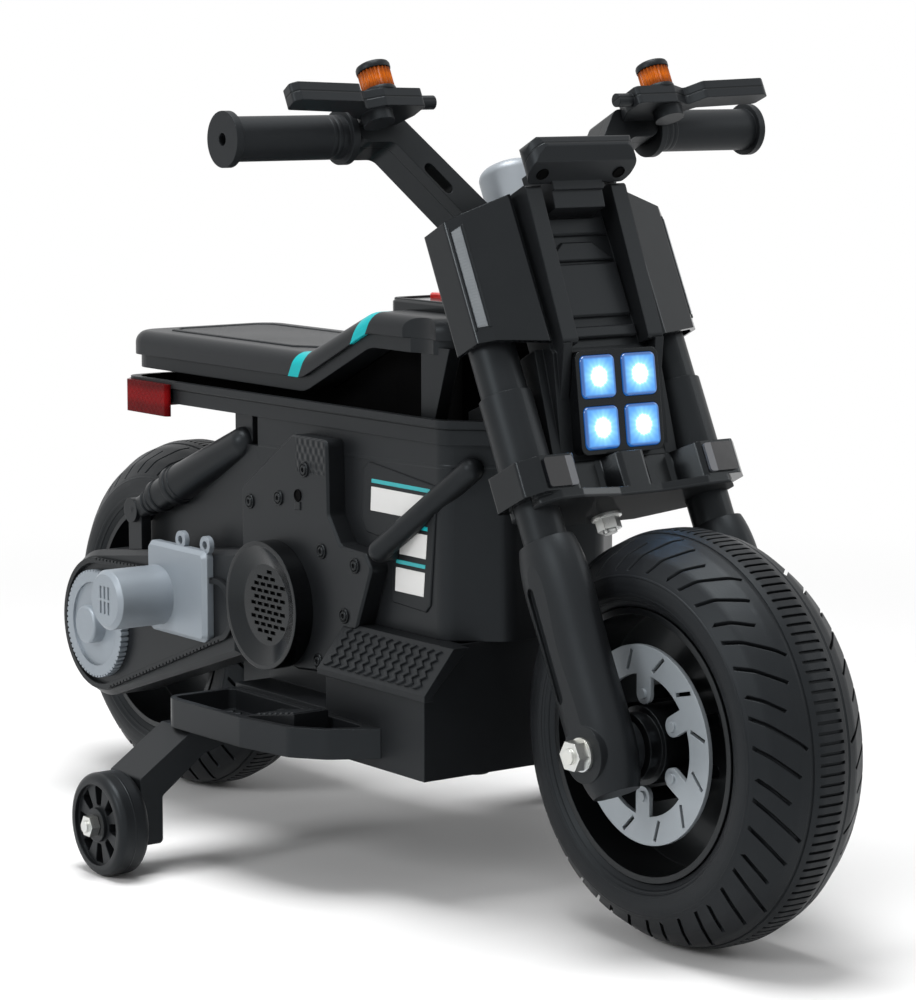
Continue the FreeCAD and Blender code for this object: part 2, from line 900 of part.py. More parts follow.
def headlight_bezel():
    points = [(-bezel_half_width, 0), (bezel_half_width, 0), (bezel_half_width, bezel_height),
              (-bezel_half_width, bezel_height)]
    panel = prism(points, "yz", -bezel_depth, 0, bezel_corner)
    window_size = lamp_size + slip_gap * 2
    windows = [prism(lamp_square(c, window_size), "yz", -bezel_depth + wall, overrun, lamp_corner)
               for c in lamp_centres()]
    return bezel_frame(panel.cut(windows))


def headlight_lenses():
    lenses = []
    for centre in lamp_centres():
        lens = prism(lamp_square(centre, lamp_size), "yz", -bezel_depth + wall, lamp_proud, lamp_corner)
        lenses.append(bezel_frame(lens.makeFillet(lamp_proud, edges_at(lens, "X", lamp_proud))))
    return lenses


def bezel_back_line():
    """Lower and upper point, as (u, w), of the face that the bezel sits on."""
    lean = math.radians(bezel_lean_deg)
    low = (bezel_low_u - bezel_depth * math.cos(lean), bezel_low_w + bezel_depth * math.sin(lean))
    high = (low[0] + bezel_height * math.sin(lean), low[1] + bezel_height * math.cos(lean))
    return low, high


def shroud_profile(inset):
    low, high = bezel_back_line()
    floor = yoke_top + seam_gap
    return [(shroud_back - inset * 2, floor - inset * 2), (low[0] - inset, floor - inset * 2),
            (low[0] - inset, low[1]), (high[0] - inset, high[1]), (shroud_front - inset, high[1] + wall),
            (shroud_front - inset, shroud_top - inset), (shroud_back - inset * 2, shroud_top - inset)]


def front_rib():
    low, high = bezel_back_line()
    inner = rib_inner_v
    outer = rib_inner_v + rib_width
    blade = prism([(shroud_front, high[1] + wall), (rib_front, high[1] + wall), (rib_top_front, rib_top),
                   (shroud_front - wall, rib_top)], "xz", -outer, -inner, wall)
    tip = prism([(low[0] + wall, rib_foot_w), (rib_front, high[1] + wall), (shroud_front, high[1] + wall * 2),
                 (shroud_front - wall * 2, high[1])], "xz", -outer, -bezel_half_width - seam_gap)
    return joined([blade, tip])


def shroud_wing():
    """Cheek that closes the space between the headlight and the fork tube."""
    low, high = bezel_back_line()
    foot = yoke_top + seam_gap
    top = shoulder_low_inner - shoulder_gap
    side = [(shroud_foot_rear, foot), (low[0], foot), (high[0] - bezel_depth, top), (shroud_foot_rear, top)]
    return prism(side, "xz", -shroud_foot_half, -shroud_half + wall)


def front_shroud():
    outer = prism(shroud_profile(0), "xz", -shroud_half, shroud_half)
    hollow = prism(shroud_profile(wall), "xz", -shroud_half + wall, shroud_half - wall)
    ribs = [rib.cut(outer) for rib in pair(front_rib())]
    wings = pair(shroud_wing())
    return joined([outer.cut(hollow)] + ribs + wings).cut([headlight_bezel(), upper_yoke()])


def shoulder_cover():
    inner_v = shroud_half + shoulder_gap
    outline = [(shoulder_rear, -shoulder_half), (shoulder_front_outer - shoulder_chamfer, -shoulder_half),
               (shoulder_front_outer, -shoulder_half + shoulder_chamfer), (shoulder_front_inner, -inner_v),
               (shoulder_rear, -inner_v)]
    hollow = [(shoulder_rear - overrun, -shoulder_half + wall),
              (shoulder_front_outer - shoulder_chamfer - wall / 2, -shoulder_half + wall),
              (shoulder_front_outer - wall, -shoulder_half + shoulder_chamfer + wall / 2),
              (shoulder_front_inner - wall, -inner_v + overrun),
              (shoulder_rear - overrun, -inner_v + overrun)]
    face = [(-shoulder_half, shoulder_low_outer), (-inner_v, shoulder_low_inner),
            (-inner_v, shoulder_high_inner), (-shoulder_half, shoulder_high_outer)]
    block = prism(outline, "xy", shoulder_low_inner - overrun, shoulder_high_inner + overrun, wall)
    block = block.common(prism(face, "yz", shoulder_rear - overrun, shoulder_front_inner + overrun))
    inside = prism(hollow, "xy", shoulder_low_inner - overrun * 2, shoulder_high_outer - wall)
    return block.cut([inside, riser()])


def dash_housing():
    """Rounded case with its face towards the rider, on a neck that stands between the ribs."""
    profile = scaled(dash_profile_shares, dash_rear, dash_length, dash_bottom, dash_height)
    body = prism(profile, "xz", -dash_half, dash_half, dash_round)
    front_u = dash_rear + dash_length
    top = dash_bottom + dash_height
    front = [(-dash_half, dash_bottom), (dash_half, dash_bottom), (dash_half, top), (-dash_half, top)]
    plan = [(dash_rear, -dash_half), (front_u, -dash_half), (front_u, dash_half), (dash_rear, dash_half)]
    body = body.common(prism(front, "yz", dash_rear - overrun, front_u + overrun, dash_edge))
    body = body.common(prism(plan, "xy", dash_bottom - overrun, top + overrun, dash_corner))
    neck = box(dash_neck_rear, dash_chin_front, -dash_neck_half, dash_neck_half, shroud_top,
               shroud_top + dash_neck_height)
    middle = dash_bottom + dash_height / 2
    chin = prism([(shroud_front, middle), (dash_chin_front, middle), (dash_chin_foot, dash_chin_bottom),
                  (shroud_front, dash_chin_bottom)], "xz", -dash_neck_half, dash_neck_half)
    return joined([body, neck, chin]).cut(front_shroud())


# Handlebar

def riser():
    low = upper_yoke_top
    bottom = bar_w - riser_end_height / 2
    points = [(-riser_foot_inner, low), (-riser_foot_outer, low), (-riser_bend, bottom),
              (-riser_end, bottom), (-riser_end, bottom + riser_end_height),
              (-riser_bend + riser_top_shift, bottom + riser_end_height),
              (-riser_foot_outer + riser_top_shift, low + riser_foot_rise),
              (-riser_foot_inner, low + riser_thickness)]
    centre = bar_u
    arm = prism(points, "yz", centre - riser_depth / 2, centre + riser_depth / 2, riser_corner)
    run = V(0, -riser_bend + riser_foot_outer, bottom - low).normalize()
    middle = V(0, -(riser_foot_outer + riser_bend) / 2, (low + bottom) / 2 + riser_slot_rise)
    across = V(0, -run.z, run.y)
    corners = [middle + run * (a * riser_slot_length) + across * (b * riser_slot_width)
               for a, b in square_shares]
    slot = prism([(corner.y, corner.z) for corner in corners], "yz", centre - riser_depth,
                 centre + riser_depth, riser_slot_width / 2 * round_end_share)
    bar = rod(V(bar_u, -riser_end, bar_w), V(bar_u, -grip_end + grip_hole_depth, bar_w), bar_radius)
    return joined([arm.cut(slot), bar])


def grip():
    flange_out = grip_end - grip_flange
    points = [(-grip_start, 0), (-grip_start, grip_flange_radius),
              (-grip_start - grip_flange, grip_flange_radius),
              (-grip_start - grip_flange, grip_radius), (-flange_out, grip_radius),
              (-flange_out, grip_flange_radius), (-grip_end, grip_flange_radius), (-grip_end, 0)]
    solid = turned(points)
    bore = cross_rod(0, 0, -grip_end + grip_hole_depth - slip_gap, -grip_start + overrun,
                     bar_radius + slip_gap)
    end_hole = cross_rod(0, 0, -grip_end - overrun, -grip_end + grip_hole_depth, grip_hole)
    return placed(solid.cut([bore, end_hole]), bar_u, 0, bar_w)


def lever_bracket():
    rear = bar_u + riser_depth / 2
    points = [(rear + a * lever_reach, -lever_inner_v - b * lever_length) for a, b in lever_outline_shares]
    plate = prism(points, "xy", lever_bottom, lever_bottom + lever_height, lever_corner)
    knob_v = -lever_inner_v + lever_knob_length
    knob_u = rear + lever_reach / 2
    knob_w = lever_bottom + lever_height / 2
    knob = rod(V(knob_u, -lever_inner_v - overrun, knob_w), V(knob_u, knob_v, knob_w), lever_knob_radius)
    pivot_u = rear + lever_pivot_shares[0] * lever_reach
    pivot_v = -lever_inner_v - lever_pivot_shares[1] * lever_length
    pivot = rod(V(pivot_u, pivot_v, lever_bottom - lever_pivot_height), V(pivot_u, pivot_v, lever_bottom),
                lever_pivot_radius)
    return joined([plate, knob, pivot]).cut(riser())


def turn_lamp():
    foot = lever_bottom + lever_height
    top = foot + turn_lamp_height + turn_lamp_cap
    lamp = rod(V(turn_lamp_u, -turn_lamp_v, foot), V(turn_lamp_u, -turn_lamp_v, top), turn_lamp_radius)
    return lamp.makeChamfer(turn_lamp_cap / 2, edges_at(lamp, "Z", top))


# Frame: tray, shells, chassis, neck

def rail_bottom(x):
    rise = (rail_bottom_front - rail_bottom_rear) / (rail_corner_x - rail_rear_x)
    return rail_bottom_rear + rise * (x - rail_rear_x)


def tray_plan(inset):
    return both_sides([(rail_nose_x - inset, rail_nose_half - inset),
                       (rail_corner_x - inset, rail_half - inset), (rail_rear_x + inset, rail_half - inset)])


def tray_block(inset, lower, upper):
    """Tray outline in plan, between two heights measured from the sloping underside."""
    ends = (rail_rear_x - overrun, rail_nose_x + overrun)
    side = [(ends[0], rail_bottom(ends[0]) + lower), (ends[1], rail_bottom(ends[1]) + lower),
            (ends[1], rail_bottom(ends[1]) + upper), (ends[0], rail_bottom(ends[0]) + upper)]
    plan = prism(tray_plan(inset), "xy", rail_bottom_rear - tray_reach, rail_bottom_front + tray_reach,
                 tray_corner)
    return plan.common(prism(side, "xz", -rail_half - overrun, rail_half + overrun))


def top_tray():
    main = tray_block(rail_lip_step, 0, rail_height)
    lip = tray_block(0, rail_height - rail_lip, rail_height)
    pocket = tray_block(rail_lip_step + wall, wall, rail_height + overrun)
    notch = box(neck_rear_x - slip_gap, rail_nose_x + overrun, -neck_half - slip_gap, neck_half + slip_gap,
                rail_bottom_rear - tray_reach, rail_bottom_front + tray_reach)
    return joined([main, lip]).cut([pocket, notch])


def body_plan(inset):
    return both_sides([(body_nose_x - inset, body_nose_half - inset), (body_taper_x, body_half - inset),
                       (body_waist_x + inset, body_half - inset),
                       (body_waist_x + inset, body_waist_half - inset),
                       (body_rear_x + inset, body_waist_half - inset)])


def body_rounds(inset):
    half = [body_corner - inset] * 2 + [0.0, 0.0, body_corner - inset]
    return half + list(reversed(half))


def body_outer():
    top = rail_bottom_front + rail_height
    return prism(body_plan(0), "xy", body_bottom, top, body_rounds(0))


def body_shells():
    top = rail_bottom_front + rail_height
    inside = prism(body_plan(wall), "xy", body_bottom - overrun, top + overrun, body_rounds(wall))
    hull = body_outer().cut([inside, tray_block(0, 0, tray_reach), neck_block()])
    right = hull.common(box(body_rear_x - overrun, body_nose_x + overrun, -rail_half, -slip_gap / 2, 0,
                            neck_top))
    return pair(right)


def chassis_block(inset):
    """Wide box under the tread decks, low shelf beside the footrests, waist between the rear arms."""
    top = body_bottom if inset == 0 else body_bottom + overrun
    front = [(chassis_half - inset, chassis_bottom + inset),
             (chassis_half - inset, chassis_side_top - inset / 2),
             (body_half - inset, body_bottom - inset / 2), (body_half - inset, top)]
    front = front if inset else front[:3]
    front_part = prism(mirrored_section(front), "yz", deck_rear_x + inset, chassis_front_x - inset)
    shelf = box(chassis_wide_rear_x + inset, deck_rear_x + inset * 2, -chassis_half + inset,
                chassis_half - inset, chassis_bottom + inset, shelf_top - inset)
    middle = box(chassis_wide_rear_x + inset, deck_rear_x + inset * 2, -body_half + inset, body_half - inset,
                 chassis_bottom + inset, top)
    waist = box(body_rear_x + inset, chassis_wide_rear_x + inset * 2, -body_waist_half + inset,
                body_waist_half - inset, chassis_bottom + inset, top)
    return joined([front_part, shelf, middle, waist])


def deck():
    """Sloping tread deck that stands a little proud of the chassis shoulder."""
    slope = [(-deck_half, chassis_side_top), (-deck_half, chassis_side_top - deck_thickness),
             (-chassis_half, chassis_side_top - deck_thickness), (-chassis_half, chassis_side_top),
             (-body_half, body_bottom), (-deck_top_half, body_bottom)]
    return prism(slope, "yz", deck_rear_x, deck_front_x)


def lower_chassis():
    feet = [rod(V(chassis_foot_x, side * chassis_foot_y, chassis_bottom - chassis_foot_height),
                V(chassis_foot_x, side * chassis_foot_y, chassis_bottom), chassis_foot_radius)
            for side in (-1, 1)]
    return joined([chassis_block(0).cut(chassis_block(wall))] + pair(deck()) + feet)


def head_axis(w):
    return steering_place.multVec(V(0, 0, w))


head_tube_bottom = yoke_top + bush_flange + seam_gap
head_tube_top = upper_yoke_bottom - bush_flange - seam_gap


def neck_block():
    side = [(neck_rear_x, neck_bottom), (body_nose_x, neck_bottom),
            (head_axis(head_tube_bottom).x, head_axis(head_tube_bottom).z),
            (head_axis(head_tube_bottom + neck_front_rise).x, neck_top),
            (neck_rear_x, rail_bottom_front + rail_height)]
    return prism(side, "xz", -neck_half, neck_half)


def head_tube():
    tube = rod(head_axis(head_tube_bottom), head_axis(head_tube_top), head_tube_radius)
    below = rod(head_axis(0), head_axis(head_tube_bottom), neck_trim_radius)
    bore = rod(head_axis(head_tube_bottom - overrun), head_axis(head_tube_top + overrun), stem_radius + wall)
    seats = [rod(head_axis(head_tube_bottom - overrun), head_axis(head_tube_bottom + bush_length),
                 bush_radius),
             rod(head_axis(head_tube_top - bush_length), head_axis(head_tube_top + overrun), bush_radius)]
    return joined([tube, neck_block()]).cut([below, bore] + seats)


def head_bush(seat_w, side):
    collar = rod(head_axis(seat_w), head_axis(seat_w - side * bush_length), bush_radius)
    flange = rod(head_axis(seat_w), head_axis(seat_w + side * bush_flange), head_tube_radius)
    bore = rod(head_axis(seat_w - bush_length * 2), head_axis(seat_w + bush_length * 2),
               stem_radius + slip_gap)
    return joined([collar, flange]).cut(bore)


def head_bushes():
    return [head_bush(head_tube_bottom, -1), head_bush(head_tube_top, 1)]


def tail_light():
    z = rail_bottom(tail_rear_x) + tail_rise
    outline = both_sides([(tail_front_x, tail_half), (tail_rear_x + tail_chamfer, tail_half),
                          (tail_rear_x, tail_half - tail_chamfer)])
    block = prism(outline, "xy", z, z + tail_height, wall)
    return block.cut([tray_block(-slip_gap / 2, -tray_reach, tray_reach)])


# Seat

def seat_line(z_seat, z_tank):
    """Line from the tail over the knee and up the ramp to the tank, as (x, z)."""
    return [(seat_rear_x, z_seat), (seat_knee_x, z_seat), (seat_ramp_top_x, z_tank), (seat_front_x, z_tank)]


def seat_slab(lower, upper, inset):
    outline = lower + list(reversed(upper))
    bends = [0.0] + [seat_bend] * 2 + [0.0, 0.0] + [seat_bend] * 2 + [0.0]
    slab = prism(outline, "xz", -seat_half, seat_half, bends)
    plan = both_sides([(seat_front_x - inset, seat_half - inset), (seat_rear_x + inset, seat_half - inset)])
    return slab.common(prism(plan, "xy", seat_parting_z - seat_half, tank_parting_z + seat_half,
                             seat_plan_corner))


def parting_height(x):
    if x <= seat_knee_x:
        return seat_parting_z
    if x >= seat_ramp_top_x:
        return tank_parting_z
    along = (x - seat_knee_x) / (seat_ramp_top_x - seat_knee_x)
    return seat_parting_z + along * (tank_parting_z - seat_parting_z)


def pad_top_edges(pad):
    """Outer edges of the pad's top, without the bend lines across it and the uprights."""
    chosen = []
    for edge in pad.Edges:
        size = edge.BoundBox
        across = size.XLength + size.ZLength < slip_gap
        upright = size.XLength + size.YLength < slip_gap
        middle = edge.valueAt((edge.FirstParameter + edge.LastParameter) / 2)
        if not across and not upright and middle.z > parting_height(middle.x) + tank_pad_height / 2:
            chosen.append(edge)
    return chosen


def seat_pad():
    """Moulded upper half of the seat and tank, hollow underneath."""
    pad = seat_slab(seat_line(seat_parting_z, tank_parting_z),
                    seat_line(seat_parting_z + seat_pad_height, tank_parting_z + tank_pad_height), 0)
    pad = pad.makeFillet(seat_edge, pad_top_edges(pad))
    hollow = seat_slab(seat_line(seat_parting_z - overrun, tank_parting_z - overrun),
                       seat_line(seat_parting_z + seat_pad_height - seat_wall,
                                 tank_parting_z + tank_pad_height - seat_wall), seat_edge)
    return pad.cut([hollow] + knee_scoops())


def knee_scoops():
    """Round hollows in both flanks of the tank."""
    y = -seat_half - scoop_radius + scoop_depth
    low = tank_parting_z - seat_base_depth - overrun
    high = tank_parting_z + tank_pad_height + overrun
    return pair(rod(V(scoop_x, y, low), V(scoop_x, y, high), scoop_radius))


def seat_core_plan(inset):
    return both_sides([(seat_core_front_x - inset, seat_core_front_half - inset),
                       (seat_core_taper_x, seat_core_half - inset),
                       (seat_core_rear_x + inset, seat_core_half - inset)])


def seat_core():
    """Upright wall under the seat that stands in the tray and carries it."""
    low = rail_bottom_rear
    seat_z = seat_parting_z - seat_base_depth / 2
    tank_z = tank_parting_z - seat_base_depth / 2
    ends = (seat_core_rear_x - overrun, seat_core_front_x + overrun)
    side = [(ends[0], low), (ends[1], low), (ends[1], tank_z), (seat_ramp_top_x, tank_z),
            (seat_knee_x, seat_z), (ends[0], seat_z)]
    inside = prism(seat_core_plan(wall), "xy", low - overrun, tank_z + overrun)
    ring = prism(seat_core_plan(0), "xy", low, tank_z).cut(inside)
    return ring.common(prism(side, "xz", -seat_half, seat_half))


def seat_base():
    shell = seat_slab(seat_line(seat_parting_z - seat_base_depth, tank_parting_z - seat_base_depth),
                      seat_line(seat_parting_z, tank_parting_z), seat_base_inset)
    low = rail_bottom_rear
    side = [(seat_front_x - pedestal_length, low), (seat_front_x - pedestal_length + pedestal_thickness, low),
            (seat_front_x - seat_base_inset, tank_parting_z - seat_base_depth / 2),
            (seat_front_x - pedestal_length, tank_parting_z - seat_base_depth / 2)]
    legs = [prism(side, "xz", y - pedestal_thickness, y) for y in
            (-pedestal_half + pedestal_thickness, pedestal_half)]
    return joined([shell, seat_core()] + legs).cut([tray_block(-overrun, -tray_reach, wall)] + knee_scoops())


def console_top():
    return tank_parting_z + tank_pad_height + console_height


def button_centres():
    return [console_x + share * console_length for share in button_x_shares]


def button_plan(x, gap):
    half_x = button_length / 2 + gap
    half_y = button_width / 2 + gap
    return [(x - half_x, -half_y), (x + half_x, -half_y), (x + half_x, half_y), (x - half_x, half_y)]


def tank_console():
    foot = tank_parting_z + tank_pad_height
    points = [(console_x, -console_half), (console_x + console_length, -console_half),
              (console_x + console_length, console_half), (console_x, console_half)]
    slab = prism(points, "xy", foot - overrun, console_top(), console_corner)
    slab = slab.makeChamfer(wall / 2, edges_at(slab, "Z", console_top()))
    wells = [prism(button_plan(x, button_gap), "xy", console_top() - button_depth, console_top() + overrun,
                   button_corner) for x in button_centres()]
    return slab.cut(wells + [seat_pad()])


def console_button(x):
    base = console_top() - button_depth / 2
    top = console_top() + button_proud
    key = prism(button_plan(x, 0), "xy", base, top, button_corner)
    return key.makeChamfer(wall / 3, edges_at(key, "Z", top))


# Side plates, horns, struts, shocks

def side_plate():
    points = scaled(plate_outline_shares, plate_rear_x, plate_front_x - plate_rear_x, plate_bottom,
                    plate_top - plate_bottom)
    plate = prism(points, "xz", -body_half - plate_thickness, -body_half, plate_corner)
    plate = plate.makeChamfer(wall / 2, edges_at(plate, "Y", -body_half - plate_thickness))
    speaker_hole = cross_rod(horn_x, horn_z, -body_half - plate_thickness - overrun, -body_half + overrun,
                             speaker_radius + slip_gap)
    return plate.cut([chassis_block(0), deck(), speaker_hole])


def plate_screws():
    face = -body_half - plate_thickness
    length = plate_front_x - plate_rear_x
    height = plate_top - plate_bottom
    return [cross_rod(plate_rear_x + a * length, plate_bottom + b * height, face - plate_screw_height, face,
                      plate_screw_radius) for a, b in plate_screw_shares]


def speaker_horn():
    back = -body_half - plate_thickness
    rim = -horn_rim_y
    throat = rim + horn_throat_depth
    points = [(back, horn_radius - wall), (back, horn_radius), (rim, horn_radius),
              (rim, horn_radius - horn_lip), (throat, horn_throat_radius), (throat, 0),
              (throat + grille_thickness, 0),
              (throat + grille_thickness, horn_radius - wall)]
    dish = turned(points)
    slots = []
    for row in range(-grille_rows, grille_rows + 1):
        z = row * grille_pitch_z
        reach = math.sqrt(max(0, (horn_throat_radius - grille_slot_length) ** 2 - z * z))
        count = int(reach / grille_pitch_x)
        shift = grille_pitch_x / 2 if row % 2 else 0
        for column in range(-count, count + 1):
            x = column * grille_pitch_x + shift
            slots.append(box(x - grille_slot_length / 2, x + grille_slot_length / 2, throat - overrun,
                             throat + grille_thickness + overrun, z - grille_slot_height / 2,
                             z + grille_slot_height / 2))
    return placed(dish.cut(slots), horn_x, 0, horn_z)


def loudspeaker():
    front = -horn_rim_y + horn_throat_depth + grille_thickness
    return cross_rod(horn_x, horn_z, front, -body_half, speaker_radius)


def frame_strut():
    low = V(strut_low_x, -strut_low_y, strut_low_z)
    high = V(strut_high_x, -strut_high_y, strut_high_z)
    bar = Part.makeCone(strut_low_radius, strut_high_radius, low.distanceToPoint(high), low, high - low)
    ends = [Part.makeSphere(strut_low_radius, low), Part.makeSphere(strut_high_radius, high)]
    foot = cross_rod(strut_low_x, strut_low_z, -strut_low_y, -body_half, strut_low_radius)
    head = cross_rod(strut_high_x, strut_high_z, -strut_high_y, -body_nose_half, strut_high_radius)
    whole = joined([bar, foot, head] + ends)
    return whole.cut([body_outer(), tray_block(0, 0, tray_reach), side_plate()])


def shock():
    low = V(shock_low_x, -shock_low_y, shock_low_z)
    high = V(shock_high_x, -shock_high_y, shock_high_z)
    step1 = low + (high - low) * shock_step_shares[0]
    step2 = low + (high - low) * shock_step_shares[1]
    eye = cross_rod(shock_low_x, shock_low_z, -shock_low_y - shock_lug_width / 2,
                    -shock_low_y + shock_lug_width / 2, shock_eye_radius)
    head = Part.makeSphere(shock_head_radius, high)
    sleeve = Part.makeCone(shock_radius, shock_head_radius, step2.distanceToPoint(high), step2, high - step2)
    hanger = box(shock_high_x - shock_head_radius, shock_high_x + shock_head_radius, -shock_high_y,
                 -body_waist_half, shock_high_z, rail_bottom_front + rail_height)
    lug = box(shock_low_x - shock_eye_radius, shock_low_x + shock_eye_radius,
              -shock_low_y - shock_lug_width / 4, -shock_low_y + shock_lug_width / 4, arm_front_bottom,
              shock_low_z)
    fin_foot = body_bottom + seam_gap
    fin_front = body_waist_x + wall
    fin = prism([(shock_low_x, fin_foot), (fin_front, fin_foot), (fin_front, shock_high_z),
                 (shock_high_x, shock_high_z), (shock_low_x, shock_low_z)], "xz", -shock_fin_outer_y,
                -shock_fin_inner_y)
    whole = joined([rod(low, step1, shock_rod_radius), rod(step1, step2, shock_mid_radius),
                    sleeve, eye, head, hanger, lug, fin])
    return whole.cut([tray_block(0, 0, tray_reach), arm_prism(0, -arm_outer_y, -arm_inner_y), body_outer()])


# Rear drive

def tangent_point(x, z, radius, side):
    """Point where a line from (x, z) touches a circle about the rear axle, above (1) or below (-1)."""
    dx = x - rear_axle_x
    dz = z - axle_z
    angle = math.atan2(dz, dx) + side * math.acos(radius / math.hypot(dx, dz))
    return V(rear_axle_x + radius * math.cos(angle), 0, axle_z + radius * math.sin(angle))


def arm_prism(inset, y0, y1):
    """Round about the rear axle, tapering to the casing's front end."""
    radius = arm_round - inset
    front = arm_front_x - inset
    top = V(front, 0, arm_front_top - inset)
    bottom = V(front, 0, arm_front_bottom + inset)
    upper = tangent_point(top.x, top.z, radius, 1)
    lower = tangent_point(bottom.x, bottom.z, radius, -1)
    rear = V(rear_axle_x - radius, 0, axle_z)
    wire = Part.Wire([Part.Arc(upper, rear, lower).toShape(), Part.LineSegment(lower, bottom).toShape(),
                      Part.LineSegment(bottom, top).toShape(), Part.LineSegment(top, upper).toShape()])
    return placed(Part.Face(wire).extrude(V(0, y1 - y0, 0)), 0, y0, 0)


def arm_cover():
    """Casing beside the rear wheel, open on the wheel's side, where a flat plate closes it."""
    shell = arm_prism(0, -arm_outer_y, -arm_inner_y)
    shell = shell.makeChamfer(arm_edge, edges_at(shell, "Y", -arm_outer_y))
    hollow = arm_prism(wall, -arm_outer_y + wall, -arm_inner_y + overrun)
    boss = cross_ring(rear_axle_x, axle_z, -arm_outer_y + wall, gear_boss_y(), gear_hub_radius,
                      axle_radius + slip_gap)
    bore = cross_rod(rear_axle_x, axle_z, -arm_outer_y - overrun, -arm_inner_y, axle_radius + slip_gap)
    return joined([shell.cut(hollow), boss]).cut(bore)


def gear_boss_y():
    return -stage_one_y()[1] - running_gap


def stage_two_y():
    """Inner and outer distance from the middle plane of the wheel-side gears."""
    inner = arm_inner_y + arm_plate + gear_side_gap
    return inner, inner + gear_width


def stage_one_y():
    inner = stage_two_y()[1] + gear_side_gap
    return inner, inner + gear_width


def arm_plate_piece():
    plate = arm_prism(wall + slip_gap, -arm_inner_y - arm_plate, -arm_inner_y)
    return plate.cut(cross_rod(rear_axle_x, axle_z, -arm_outer_y, 0, gear_hub_radius + running_gap))


def gear_outline(teeth):
    """One turn of spur teeth as points about the origin, with a tooth centred on angle zero."""
    pitch = gear_module * teeth / 2
    base = pitch * math.cos(math.radians(pressure_deg))
    tip = pitch + addendum_share * gear_module
    root = pitch - dedendum_share * gear_module
    pressure = math.radians(pressure_deg)
    half_tooth = math.pi / (2 * teeth) - backlash / (2 * pitch)
    base_angle = half_tooth + math.tan(pressure) - pressure
    start = max(base, root)
    flank = []
    for k in range(flank_steps + 1):
        r = start + (tip - start) * k / flank_steps
        roll = math.acos(min(1.0, base / r))
        flank.append((r, base_angle - (math.tan(roll) - roll)))
    if root < base:
        flank.insert(0, (root, flank[0][1]))
    points = []
    for tooth in range(teeth):
        centre = 2 * math.pi * tooth / teeth
        points += [(r, centre - a) for r, a in flank]
        points += [(r, centre + a) for r, a in reversed(flank)]
    return [(r * math.cos(a), r * math.sin(a)) for r, a in points]


def spur_gear(teeth, inner_y, outer_y, turn_deg):
    """Gear about the Y axis on the right side, with its first tooth turned up from X towards Z."""
    wheel = prism(gear_outline(teeth), "xz", -outer_y, -inner_y)
    wheel.rotate(V(0, 0, 0), V(0, 1, 0), -turn_deg)
    return wheel


def gear_layout():
    """Place of the reduction gear, and the directions of both meshes in degrees."""
    span_two = gear_module * (drive_gear_teeth + small_gear_teeth) / 2
    span_one = gear_module * (large_gear_teeth + pinion_teeth) / 2
    dx = motor_x - rear_axle_x
    dz = motor_z - axle_z
    reach = math.hypot(dx, dz)
    turn = math.acos((span_two ** 2 + reach ** 2 - span_one ** 2) / (2 * span_two * reach))
    angle_two = math.atan2(dz, dx) - turn
    x = rear_axle_x + span_two * math.cos(angle_two)
    z = axle_z + span_two * math.sin(angle_two)
    angle_one = math.atan2(motor_z - z, motor_x - x)
    return x, z, math.degrees(angle_two), math.degrees(angle_one)


def drive_gear():
    inner, outer = stage_two_y()
    mesh = gear_layout()[2]
    wheel = spur_gear(drive_gear_teeth, inner, outer, mesh)
    hub = cross_rod(0, 0, -outer, -hub_half, gear_hub_radius)
    bore = cross_rod(0, 0, -outer - overrun, 0, axle_radius + slip_gap)
    return on_rear(joined([wheel, hub]).cut(bore))


def reduction_gear():
    x, z, mesh_two, mesh_one = gear_layout()
    gap_turn = 180 / small_gear_teeth
    small = spur_gear(small_gear_teeth, stage_two_y()[0], stage_one_y()[0], mesh_two + 180 + gap_turn)
    large = spur_gear(large_gear_teeth, stage_one_y()[0], stage_one_y()[1], mesh_one)
    bore = cross_rod(0, 0, -arm_outer_y, 0, gear_pin_radius + slip_gap)
    return placed(joined([small, large]).cut(bore), x, 0, z)


def motor_pinion():
    inner, outer = stage_one_y()
    mesh_one = gear_layout()[3]
    wheel = spur_gear(pinion_teeth, inner, outer, mesh_one + 180 + 180 / pinion_teeth)
    shaft = cross_rod(0, 0, -motor_back_y() + motor_length / 2, -inner, motor_shaft_radius)
    return placed(joined([wheel, shaft]), motor_x, 0, motor_z)


def motor_back_y():
    """Outer end of the motor, inside the end of its cover."""
    return motor_can_end - motor_can_wall * 2


def drive_motor():
    back = -motor_back_y()
    can = cross_rod(motor_x, motor_z, back, back + motor_length, motor_radius)
    bore = cross_rod(motor_x, motor_z, back + motor_length / 2 - slip_gap, 0, motor_shaft_radius + slip_gap)
    return can.cut(bore)


def gearbox_plate():
    x, z = gear_layout()[:2]
    plate = arm_plate_piece()
    pin = cross_rod(x, z, -arm_outer_y + wall + slip_gap, -arm_inner_y, gear_pin_radius)
    return joined([plate, pin])


def drive_cover():
    shaft_hole = cross_rod(motor_x, motor_z, -arm_outer_y - overrun, -arm_inner_y,
                           gear_module * pinion_teeth / 2)
    return arm_cover().cut(shaft_hole)


def swingarm_left():
    return mirrored(joined([arm_cover(), arm_plate_piece()]))


def motor_base_outline():
    return [(motor_base_rear_x, motor_base_bottom), (motor_base_front_x, motor_base_bottom),
            (motor_base_front_x, motor_base_top), (motor_base_rear_x, motor_base_top)]


